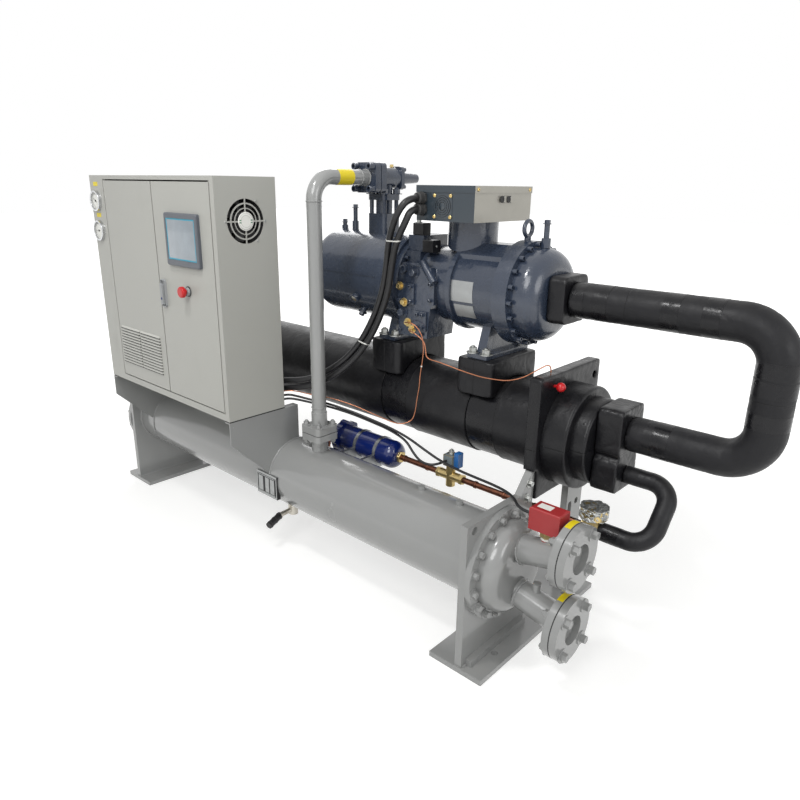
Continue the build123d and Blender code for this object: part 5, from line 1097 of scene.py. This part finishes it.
class CHILLER_OT_cabinet_trim(Step, bpy.types.Operator):
    """Fan guard screws, hub sticker and blank gauge labels of the cabinet"""

    bl_idname = "chiller.cabinet_trim"
    bl_label = "Cabinet trim"

    def make(self):
        screws = [(mm(31, FAN_Y + 81 * cos(a), FAN_Z + 81 * sin(a)), X, 20 * n)
                  for n, a in enumerate(radians(turn) for turn in (0, 56, 180, -56))]
        fit(copies(pan_screw(0.0045), screws), "guard_screws", *ZINC)
        hub = rod(mm(31.8, FAN_Y, FAN_Z), 0.0315, 0.0016, 56, (0, pi / 2, 0))
        facing(X)
        insets((0.0015, 0.0006), (0.0110, 0))
        push(-0.0004, X)
        done()
        paint = Paint("hub_sticker", self.colours.dial, 0.35)
        y, z = paint.axis("Y") - FAN_Y / 1000, paint.axis("Z") - FAN_Z / 1000
        radius = paint.maths("SQRT", y * y + z * z)
        rings = paint.band(radius, 0.0272, 0.0280, 0.0002) + paint.band(radius, 0.0196, 0.0202, 0.0002)
        blocks = paint.band(abs(y), 0.0190, 0.0262, 0.0003) * paint.band(abs(z), 0.0022, 0.0058, 0.0003)
        base = paint.shade(rings * 0.7, paint.vary(30, 0.04), (0.05, 0.05, 0.05, 1))
        paint.put("Base Color", paint.shade(blocks, base, (0.04, 0.20, 0.10, 1)))
        paint.put("Roughness", 0.32 + paint.noise(80, 2) * 0.1)
        fit(hub, "fan_sticker", "grey_plastic", "hub_sticker")
        labels = [plate(mm(-831 - 19, -471.5, z - 8), mm(-831 + 19, -471.0, z + 8), 0.0016) for z in (1416, 1294)]
        fit(together(labels), "gauge_labels", *YELLOW)


# ------------------------------------------------------------------ compressor


def wrapped_plate(x, turn, y_axis, z_axis, radius, thick=0.0012):
    """A thin plate bent round a form that lies along X, from one angle to another, 0 at its front and 90 on top."""
    def wrap(place):
        angle = radians(turn[0] + (place.y + 0.5) * (turn[1] - turn[0]))
        return mm(x[0] + (place.x + 0.5) * (x[1] - x[0]), y_axis - radius * cos(angle), z_axis + radius * sin(angle))

    piece = begin("grid", (0, 0, 0), x_subdivisions=4, y_subdivisions=16, size=1)
    reshape(wrap)
    done()
    outward = mm(0, -cos(radians(sum(turn) / 2)), sin(radians(sum(turn) / 2)))
    if sum(face.normal.dot(outward) for face in piece.data.polygons) < 0:
        piece.data.flip_normals()
    solid = piece.modifiers.new("Solidify", "SOLIDIFY")
    solid.thickness, solid.offset = thick, 1
    bpy.ops.object.modifier_apply(modifier="Solidify")
    return piece


class CHILLER_OT_name_plates(Step, bpy.types.Operator):
    """Bare plates on the motor, blank labels on the flanges, and the panelled frame on the condenser vessel"""

    bl_idname = "chiller.name_plates"
    bl_label = "Bare plates"

    def make(self):
        plates = [wrapped_plate((629, 719), (-14, 14.4), *COMPRESSOR, 140.3),
                  wrapped_plate((639, 719), (-38.8, -18.3), *COMPRESSOR, 140.3)]
        fit(together(plates), "motor_plates", "plate_metal", "plate_sheet")
        labels = [wrapped_plate((1243.5, 1262.5), (74, 108), -175, z, 100.0, 0.0006) for z in FLANGE_HEIGHTS]
        fit(together(labels), "flange_labels", *YELLOW)
        fit(plate(mm(-35, -318.1, 258), mm(79, -317.6, 336), 0.0016), "frame_back", *SHADE)
        panels = [plate(mm(left, -318.9, 266), mm(left + wide, -317.9, 328), 0.0012)
                  for left, wide in ((-28, 28), (14, 24), (45, 26))]
        panels += [plate(mm(-31, -318.7, low), mm(75, -317.9, low + 3.4), 0.0008) for low in (259.5, 331)]
        fit(together(panels), "frame_panels", *PLATE)
        sides = [plate(mm(side, -317.0, 250), mm(side + 0.5, -300.5, 344)) for side in (84.6, -41.1)]
        fit(together(sides), "frame_sides", *SHADE)


class CHILLER_OT_compressor_fittings(Step, bpy.types.Operator):
    """Plugs, sight glass, coil nuts and service caps on the compressor's castings"""

    bl_idname = "chiller.compressor_fittings"
    bl_label = "Compressor fittings"

    def make(self):
        plugs = [(mm(411, 22, 1088), -Y, 0), (mm(431, 22, 1032), -Y, 20), (mm(444, 30, 960), -Y, 10),
                 (mm(466, 30, 938), -Y, 0)]
        fit(copies(hex_bolt(0.017), plugs), "brass_plugs", *BRASS)
        dark = [(mm(420, 30, 994), -Y, 0), (mm(470, 30, 1140), -Y, 30), (mm(430, 30, 1150), -Y, 10)]
        fit(copies(hex_bolt(0.024), dark), "body_plugs", *CASTING)
        way = Vector((0, -sin(radians(118)), cos(radians(118))))
        centre = mm(174, *COMPRESSOR) + way * 0.168
        rod((0, 0, 0.004), 0.0205, 0.008, 6)
        highest()
        insets((0.0018, 0.0012), (0.0035, 0))
        push(-0.003)
        nut = copies(done(), [(centre, way, 0)])
        fit(nut, "sight_nut", *CASTING)
        rod((0, 0, 0.0035), 0.0128, 0.007, 36)
        highest()
        insets((0.003, 0.0012))
        glass = copies(done(), [(centre, way, 0)])
        fit(glass, "sight_lens", "gauge_chrome", "sight_glass")
        drain_way = Vector((0, -sin(radians(142)), cos(radians(142))))
        drain = [(mm(174, *COMPRESSOR) + drain_way * 0.174, drain_way, 0)]
        fit(copies(hex_bolt(0.020), drain), "drain_plug", *CASTING)
        coil_nuts = [(mm(512, 80, 1229), X, 0), (mm(425, 101, 1304), Z, 0)]
        fit(copies(hex_bolt(0.014, 0.004), coil_nuts), "coil_nuts", *ZINC)
        caps = [(mm(26, 175, 1340), Z, 0), (mm(-35, 175, 1282), Z, 10), (mm(895, 175, 1318), Z, 5)]
        fit(copies(hex_bolt(0.017), caps), "service_caps", *CASTING)
        fit(copies(hex_bolt(0.012), [(mm(183, 215, 1493), Z, 10)]), "valve_tip", *BRASS)


class CHILLER_OT_terminal_fittings(Step, bpy.types.Operator):
    """Glands, plugs, guard and screws of the terminal box"""

    bl_idname = "chiller.terminal_fittings"
    bl_label = "Terminal box fittings"

    def make(self):
        sleeves = []
        for height in (1389, 1354):
            rod((0, 0, 0.0045), 0.0215, 0.009, 6)
            highest()
            insets((0.0012, 0.0008))
            rod((0, 0, 0.0185), 0.0182, 0.019, 36, start=also)
            highest()
            insets((0.0028, 0.0022))
            sleeves.append(copies(done(), [(mm(517, 10, height), -Y, 10)]))
        fit(together(sleeves), "gland_nuts", *BLACK)
        plugs = []
        for y in (155, 192):
            rod(mm(733.2, y, 1389), 0.0110, 0.0024, 32, (0, pi / 2, 0))
            facing(X)
            insets((0.0020, 0.0010), (0.0030, 0))
            push(-0.0006, X)
            plugs.append(done())
        fit(together(plugs), "blanking_plugs", *BLACK)
        lid = [(mm(730, y, 1419), X, 15 * n) for n, y in enumerate((26, 324))]
        fit(copies(pan_screw(0.0062), lid), "lid_screws", *BRASS)
        rings = [tube_ring(mm(GUARD_X, 9.2, GUARD_Z), -Y, r - 0.0023, r + 0.0023, 0.0018, 56)
                 for r in (0.0165, 0.0235, 0.0305)]
        rod(mm(GUARD_X, 9.4, GUARD_Z), 0.0115, 0.0022, 40, (pi / 2, 0, 0))
        facing(-Y)
        insets((0.0012, 0.0006))
        rings.append(done())
        for k in range(4):
            bar = plate((-0.0330, -0.0005, -0.0010), (0.0330, 0.0005, 0.0010))
            turn = Matrix.Rotation(radians(45 * k), 4, "Y")
            bar.data.transform(Matrix.Translation(mm(GUARD_X, 9.9, GUARD_Z)) @ turn)
            rings.append(bar)
        fit(together(rings), "box_guard", "casting_blue", "guard_paint")
        behind = plate(mm(562, 10.2, 1326), mm(640, 12.2, 1404), 0.007)
        fit(soften(behind, 0.0004, 1), "box_guard_plate", "casting_blue", "guard_paint")
        # A near-black disc behind the guard's rings: painted shade that shows through the gaps between them.
        rod(mm(GUARD_X, 10.4, GUARD_Z), 0.0345, 0.0009, 56, (pi / 2, 0, 0))
        facing(-Y)
        insets((0.0006, 0.0001))
        fit(done(), "box_guard_well", *SHADE)
        screws = [(mm(GUARD_X + dx, 10.1, GUARD_Z + dz), -Y, 15 * dx) for dx in (-33, 33) for dz in (-33, 33)]
        fit(copies(pan_screw(0.0062), screws), "box_guard_screws", *BRASS)


# ------------------------------------------------------------------ pipework and vessels


class CHILLER_OT_welds(Step, bpy.types.Operator):
    """Weld beads where pipes, flanges and plates meet"""

    bl_idname = "chiller.welds"
    bl_label = "Weld beads"

    def make(self):
        r = self.sizes.weld_bead
        beads = []
        for side in (1, -1):
            beads.append(bead(mm(side * 996, *CONDENSER), X, 0.1375, r * 1.2, 150))
            beads.append(straight_bead(mm(side * 1023, -345, 19), mm(side * 1023, -329, 19), r))
            beads.append(straight_bead(mm(side * 996, -345, 19), mm(side * 996, -5, 19), r))
            beads.append(straight_bead(mm(side * 996, 247, 19), mm(side * 996, 345, 19), r))
            beads.append(straight_bead(mm(side * 1023, 247, 19), mm(side * 1023, 345, 19), r))
        for low, reach in ((605, 0.0278), (554, 0.0312), (625, 0.0274), (1372, 0.0274)):
            beads.append(bead(mm(*DISCHARGE, low), Z, reach, r * 0.55, 60))
        beads.append(bead(mm(*DISCHARGE, 500), Z, 0.0325, r * 0.6, 60))
        beads.append(bead(mm(VALVE_X, 40, VALVE_Z), Y, 0.0274, r * 0.55, 60))
        beads.append(bead(mm(VALVE_X, 74, VALVE_Z), Y, 0.0285, r * 0.6, 60))
        for x in (29, -879):
            beads.append(bead_part(x))
        fit(together(beads), "weld_beads", *VESSEL, smooth=60)
        nozzle_rise = tan(radians(12.6))
        collars = []
        for updown in (1, -1):
            face = 318 + updown * 118
            way = Vector((1, 0, updown * nozzle_rise)).normalized()
            start = mm(1107, -175, face - updown * (1290 - 1107) * nozzle_rise)
            collars.append(bead(start, way, 0.0450, r * 1.1, 72))
            tip = mm(1241, -175, face - updown * (1290 - 1241) * nozzle_rise)
            collars.append(bead(tip, way, 0.0455, r, 72))
        fit(together(collars), "nozzle_welds", *VESSEL, smooth=60)


def bead_part(x):
    """A weld bead over the top of the condenser vessel, beside a cabinet bracket."""
    piece = begin("torus", (0, 0, 0), major_radius=0.1375, minor_radius=0.0032, major_segments=96, minor_segments=8)
    bpy.ops.mesh.bisect(plane_co=(0.0, -0.035, 0), plane_no=(0, 1, 0), clear_inner=True, use_fill=True)
    done()
    piece.data.transform(Matrix.Translation(mm(x + 4, *CONDENSER)) @ Matrix.Rotation(pi / 2, 4, "X")
                         @ Matrix.Rotation(pi / 2, 4, "Y"))
    return piece


class CHILLER_OT_wrap_edges(Step, bpy.types.Operator):
    """Tape bands, raised edges and rounded pieces of the foam insulation"""

    bl_idname = "chiller.wrap_edges"
    bl_label = "Insulation tape"

    def make(self):
        foam_wrap("tape", self.colours.foam, (), (), 0.20)
        bands = []
        for x, wide in ((1046, 0.044), (1118, 0.050), (1330, 0.048), (1440, 0.048)):
            bands.append(tube_ring(mm(x, *COMPRESSOR), X, 0.0540, 0.0558, wide, 64))
        for z in (985, 935, 845):
            bands.append(tube_ring(mm(SUCTION_X, 175, z), Z, 0.0540, 0.0556, 0.044, 64))
        bands.append(tube_ring(mm(1350, 175, 708), X, 0.0540, 0.0558, 0.048, 64))
        bands.append(tube_ring(mm(1290, *LIQUID_LINE), X, 0.0270, 0.0289, 0.048, 48))
        fit(together(bands), "tape_bands", "insulation", "tape")
        edges = [bead_plain(mm(x, *EVAPORATOR), X, 0.1490, 0.0018, 120) for x in (312, 716, 443, 834)]
        fit(together(edges), "wrap_edges", "insulation", "shell_wrap", smooth=60)
        padded("compressor_seats", "seat_wrap", 0.005, 12, 0.0022, 0.0009, 8)
        padded("suction_valve", "cover_wrap", 0.004, 9, 0.0016, 0.0009, 11)
        padded("header_boxes", "cover_wrap", 0.004, 12, 0.0018, 0.0009, 10)
        padded("evaporator_plates", "plate_wrap", 0.005, 4, 0.0010, 0.0005, 7)
        padded("suction_pipe", "pipe_wrap", 0.005, 2, 0.0009, 0.0006, 10)
        padded("liquid_pipe", "pipe_wrap", 0.004, 1, 0.0006, 0.0005, 14)


def bead_plain(centre, axis, ring_radius, radius, sides):
    """A smooth raised edge round a wrapped vessel."""
    piece = begin("torus", (0, 0, 0), major_radius=ring_radius, minor_radius=radius, major_segments=sides,
                  minor_segments=8)
    stretch((1.0005, 1.0005, 1.3))
    done()
    piece.data.transform(looking(centre, axis))
    return piece


class CHILLER_OT_line_fittings(Step, bpy.types.Operator):
    """Unions, sleeves, solenoid coil and valve details on the liquid line"""

    bl_idname = "chiller.line_fittings"
    bl_label = "Liquid line fittings"
    HEAD = 0.0427  # radius of the expansion valve's head

    def make(self):
        unions = []
        for x, across, depth in ((421, 0.040, 0.016), (616, 0.034, 0.012), (719, 0.034, 0.012), (1196, 0.034, 0.012)):
            rod((0, 0, 0), across / 3 ** 0.5, depth, 6)
            ends()
            insets((across * 0.05, across * 0.04), each=True)
            unions.append(copies(done(), [(mm(x, *LIQUID_LINE), X, 12)]))
        fit(together(unions), "line_unions", *BRASS)
        rings = [tube_ring(mm(x, *LIQUID_LINE), X, 0.0108, 0.0132, 0.010, 32)
                 for x in (78, 446, 560, 780, 900, 1020, 1120)]
        rings += [tube_ring(mm(0, 25, z), Z, 0.0108, 0.0132, 0.010, 32) for z in (180, 370)]
        fit(soften(together(rings), 0.0012, 2), "line_sleeves", "copper", "dark_copper")
        coil = begin("cube", mm(668, 25, 493), size=1)
        stretch((0.0430, 0.0430, 0.0430), mm(668, 25, 493))
        pick(lambda centre, way: True, "EDGE")
        bpy.ops.mesh.bevel(offset=0.004, segments=3)
        facing(Z)
        insets((0.006, 0))
        push(0.0015)
        done()
        fit(coil, "solenoid_coil", "grey_plastic", "coil_grey")
        plug = begin("cube", mm(700, 25, 500), size=1)
        stretch((0.0225, 0.0290, 0.0570), mm(700, 25, 500))
        pick(lambda centre, way: True, "EDGE")
        bpy.ops.mesh.bevel(offset=0.003, segments=2)
        facing(X)
        insets((0.004, -0.0008))
        done()
        fit(plug, "coil_plug", "drier_blue", "coil_blue")
        fit(copies(hex_bolt(0.017, 0.004), [(mm(668, 25, 515.8), Z, 0)]), "coil_nut", *ZINC)
        foil = begin("uv_sphere", (0, 0, 0), segments=64, ring_count=32, radius=self.HEAD)
        reshape(self.crumple)
        done()
        foil.data.transform(Matrix.Translation(mm(1224, 25, 487)))
        bare_metal("foil", self.colours.bolt, 0.38, 0.3, (0.30, 0.29, 0.27, 1), 90)
        fit(foil, "expansion_foil", "plate_metal", "foil", smooth=0)
        start, run = mm(10, -250, 134), mm(28, -322, 119) - mm(10, -250, 134)
        caps = [tube_ring(start + run * part, run, 0.0135, 0.0152, 0.004, 30) for part in (0.12, 0.5, 0.88)]
        fit(soften(together(caps), 0.0006), "outlet_cap_ribs", *BLACK)
        ball = begin("uv_sphere", (0, 0, 0.0150), segments=36, ring_count=20, radius=0.0150)
        pick(lambda centre, normal: normal.z < -0.93)
        push(-0.0090)
        ball = copies(done(), [(mm(1040, 60, 840), X, 0)])
        fit(ball, "vent_knob", "stop_red", "stop_plastic")

    def crumple(self, place):
        """Presses a ball into a flat head of crumpled foil."""
        flat = max(-1.0, min(1.0, place.z / self.HEAD * 1.9))
        crumple = 1 + 0.11 * noise.noise(place * 95) + 0.06 * noise.noise(place * 210)
        wide = (place.x ** 2 + place.y ** 2) ** 0.5
        out = min(1.0, wide / self.HEAD * 1.35) / max(wide / self.HEAD, 1e-6)
        return Vector((place.x * out * crumple, place.y * out * crumple, flat * 0.0178 * crumple))


class CHILLER_OT_switch_fittings(Step, bpy.types.Operator):
    """Label, nut and collar of the flow switch"""

    bl_idname = "chiller.switch_fittings"
    bl_label = "Flow switch fittings"

    def make(self):
        label = plate(mm(1146, -189, 556.05), mm(1189, -161, 556.5), 0.001)
        fit(label, "switch_label", "grey_plastic", "white_label")
        rod((0, 0, 0), 0.0225, 0.016, 6)
        ends()
        insets((0.0022, 0.0016), each=True)
        fit(copies(done(), [(mm(1180, -175, 474), Z, 8)]), "switch_nut", *BRASS)
        sleeve = tube_ring(mm(1180, -175, 461), Z, 0.0165, 0.0190, 0.008, 36)
        fit(soften(sleeve, 0.0008), "switch_sleeve", "grey_plastic", "white_plastic")
        gland = tube_ring(mm(1122, -175, 520), X, 0.0078, 0.0102, 0.009, 28)
        fit(soften(gland, 0.0008), "switch_gland", *BLACK)


class CHILLER_OT_ties_and_labels(Step, bpy.types.Operator):
    """White cable ties and blank labels on pipes and flanges"""

    bl_idname = "chiller.ties_and_labels"
    bl_label = "Ties and labels"

    def make(self):
        ties = []
        for first, second, way in ((mm(433, -60, 1254), mm(467, -56, 1254), Vector((38, -20, 58))),
                                   (mm(267, -35, 872), mm(298, -37, 868), Vector((41, 10, 70)))):
            ties.append(strap_round(first, second, way.normalized(), 0.0125, 0.0045))
        ties.append(tube_ring(mm(528, 12, 815), Z, 0.0018, 0.0034, 0.004, 16))
        fit(together(ties), "cable_ties", "grey_plastic", "white_plastic")
        tape = tube_ring(mm(VALVE_X, -38, VALVE_Z), Y, 0.0266, 0.0274, 0.071, 48)
        fit(tape, "pipe_label", *YELLOW)


def strap_round(first, second, way, radius, width):
    """A tie drawn tight round two cables that lie side by side."""
    def part(place):
        side = 1 if place.x > 1e-6 else -1 if place.x < -1e-6 else 0
        return place + X * (side * half)

    middle, across = (first + second) / 2, (second - first)
    half = across.length / 2
    piece = rod((0, 0, 0), radius, width, 40)
    ends()
    insets((0.0009, 0))
    bpy.ops.mesh.bridge_edge_loops()
    reshape(part)
    done()
    side = across.normalized()
    along_way = (way - side * way.dot(side)).normalized()
    up = along_way.cross(side)
    piece.data.transform(Matrix.Translation(middle) @ Matrix((side, up, along_way)).transposed().to_4x4())
    return piece


# ------------------------------------------------------------------ stage

AMBIENT = 0.50  # strength of the surround's light, which the camera sees at strength 1


class CHILLER_OT_stage(Step, bpy.types.Operator):
    """Plain pale floor, soft lamps and a white surround"""

    bl_idname = "chiller.stage"
    bl_label = "Stage"

    def make(self):
        floor = begin("grid", (0, 0, -0.0005), x_subdivisions=2, y_subdivisions=2, size=60)
        done()
        paint = Paint("floor_paint", self.colours.floor, 0.75)
        paint.put("Base Color", paint.vary(0.7, 0.015))
        paint.put("Roughness", 0.7 + paint.noise(3, 2) * 0.1)
        ray = [paint.node("ShaderNodeLightPath", output=kind + " Ray") for kind in
               ("Is Camera", "Is Glossy", "Is Transmission")]
        seen = paint.maths("MINIMUM", ray[0] + ray[1] + ray[2], 1)
        x, y = paint.axis("X") - 0.2, paint.axis("Y") + 0.1
        away = paint.between(paint.maths("SQRT", x * x + y * y), 1.2, 4.0, 0.48, 0.92)
        glow = seen * away
        paint.put("Emission Color", paint.shade(glow, (0, 0, 0, 1), (1, 1, 1, 1)))
        paint.shader.inputs["Emission Strength"].default_value = 1.0
        floor.name = floor.data.name = "floor"
        floor.data.materials.append(paint.material)
        world = bpy.data.worlds.new("surround")
        bpy.context.scene.world = world
        world.use_nodes = True
        sky = Tree(world.node_tree)
        camera, glossy, through = (sky.node("ShaderNodeLightPath", output=kind + " Ray")
                                   for kind in ("Is Camera", "Is Glossy", "Is Transmission"))
        seen = sky.maths("MAXIMUM", camera, sky.maths("MAXIMUM", through, glossy))
        level = sky.node("ShaderNodeMapRange", inputs={"Value": seen, "To Min": AMBIENT, "To Max": 1.0})
        background = world.node_tree.nodes["Background"]
        background.inputs["Color"].default_value = (1, 1, 1, 1)
        sky.feed(background.inputs["Strength"], level)
        for name, place, aim, size, power in (
                ("main_lamp", (1.6, -3.6, 3.6), (0.1, 0, 0.8), 2.4, self.sizes.lamp_power),
                ("side_lamp", (4.4, -0.4, 2.2), (0.6, 0, 0.7), 2.0, self.sizes.lamp_power * 0.42),
                ("strip_lamp", (0.4, -1.5, 3.3), (0.2, 0, 0.8), 0.35, self.sizes.lamp_power * 0.30),
                ("back_lamp", (-2.6, 2.6, 3.2), (0, 0, 0.8), 2.2, self.sizes.lamp_power * 0.45)):
            lamp = bpy.data.lights.new(name, "AREA")
            lamp.shape, lamp.size, lamp.energy = "DISK", size, power
            holder = bpy.data.objects.new(name, lamp)
            bpy.context.scene.collection.objects.link(holder)
            way = (Vector(aim) - Vector(place)).to_track_quat("-Z", "Y").to_matrix().to_4x4()
            holder.matrix_world = Matrix.Translation(place) @ way
        bpy.context.scene.view_settings.view_transform = "Standard"


# ------------------------------------------------------------------ panel


STEPS = (CHILLER_OT_camera, CHILLER_OT_stage, CHILLER_OT_finishes, CHILLER_OT_cables, CHILLER_OT_cover_bolts,
         CHILLER_OT_flange_bolts, CHILLER_OT_socket_screws, CHILLER_OT_gauge_dials, CHILLER_OT_door_fittings,
         CHILLER_OT_cabinet_trim, CHILLER_OT_name_plates, CHILLER_OT_compressor_fittings,
         CHILLER_OT_terminal_fittings, CHILLER_OT_welds, CHILLER_OT_wrap_edges, CHILLER_OT_line_fittings,
         CHILLER_OT_switch_fittings, CHILLER_OT_ties_and_labels)


class CHILLER_PT_panel(bpy.types.Panel):
    """Sizes, colours and steps of the water chiller"""

    bl_label = "Water Chiller"
    bl_space_type = "VIEW_3D"
    bl_region_type = "UI"
    bl_category = "Chiller"

    def draw(self, context):
        for heading, group in (("Sizes", context.scene.chiller_sizes), ("Colours", context.scene.chiller_colours)):
            box = self.layout.box()
            box.label(text=heading)
            for name in group.bl_rna.properties.keys():
                if name not in ("rna_type", "name"):
                    box.prop(group, name)
        for step in STEPS:
            self.layout.operator(step.bl_idname)


CLASSES = (ChillerSizes, ChillerColours) + STEPS + (CHILLER_PT_panel,)


def register():
    for each in CLASSES:
        bpy.utils.register_class(each)
    bpy.types.Scene.chiller_sizes = bpy.props.PointerProperty(type=ChillerSizes)
    bpy.types.Scene.chiller_colours = bpy.props.PointerProperty(type=ChillerColours)


def unregister():
    del bpy.types.Scene.chiller_colours
    del bpy.types.Scene.chiller_sizes
    for each in reversed(CLASSES):
        bpy.utils.unregister_class(each)


def main():
    """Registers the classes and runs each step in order."""
    register()
    for step in STEPS:
        group, name = step.bl_idname.split(".")
        getattr(getattr(bpy.ops, group), name)()
    bpy.context.view_layer.update()


if __name__ == "__main__":
    main()
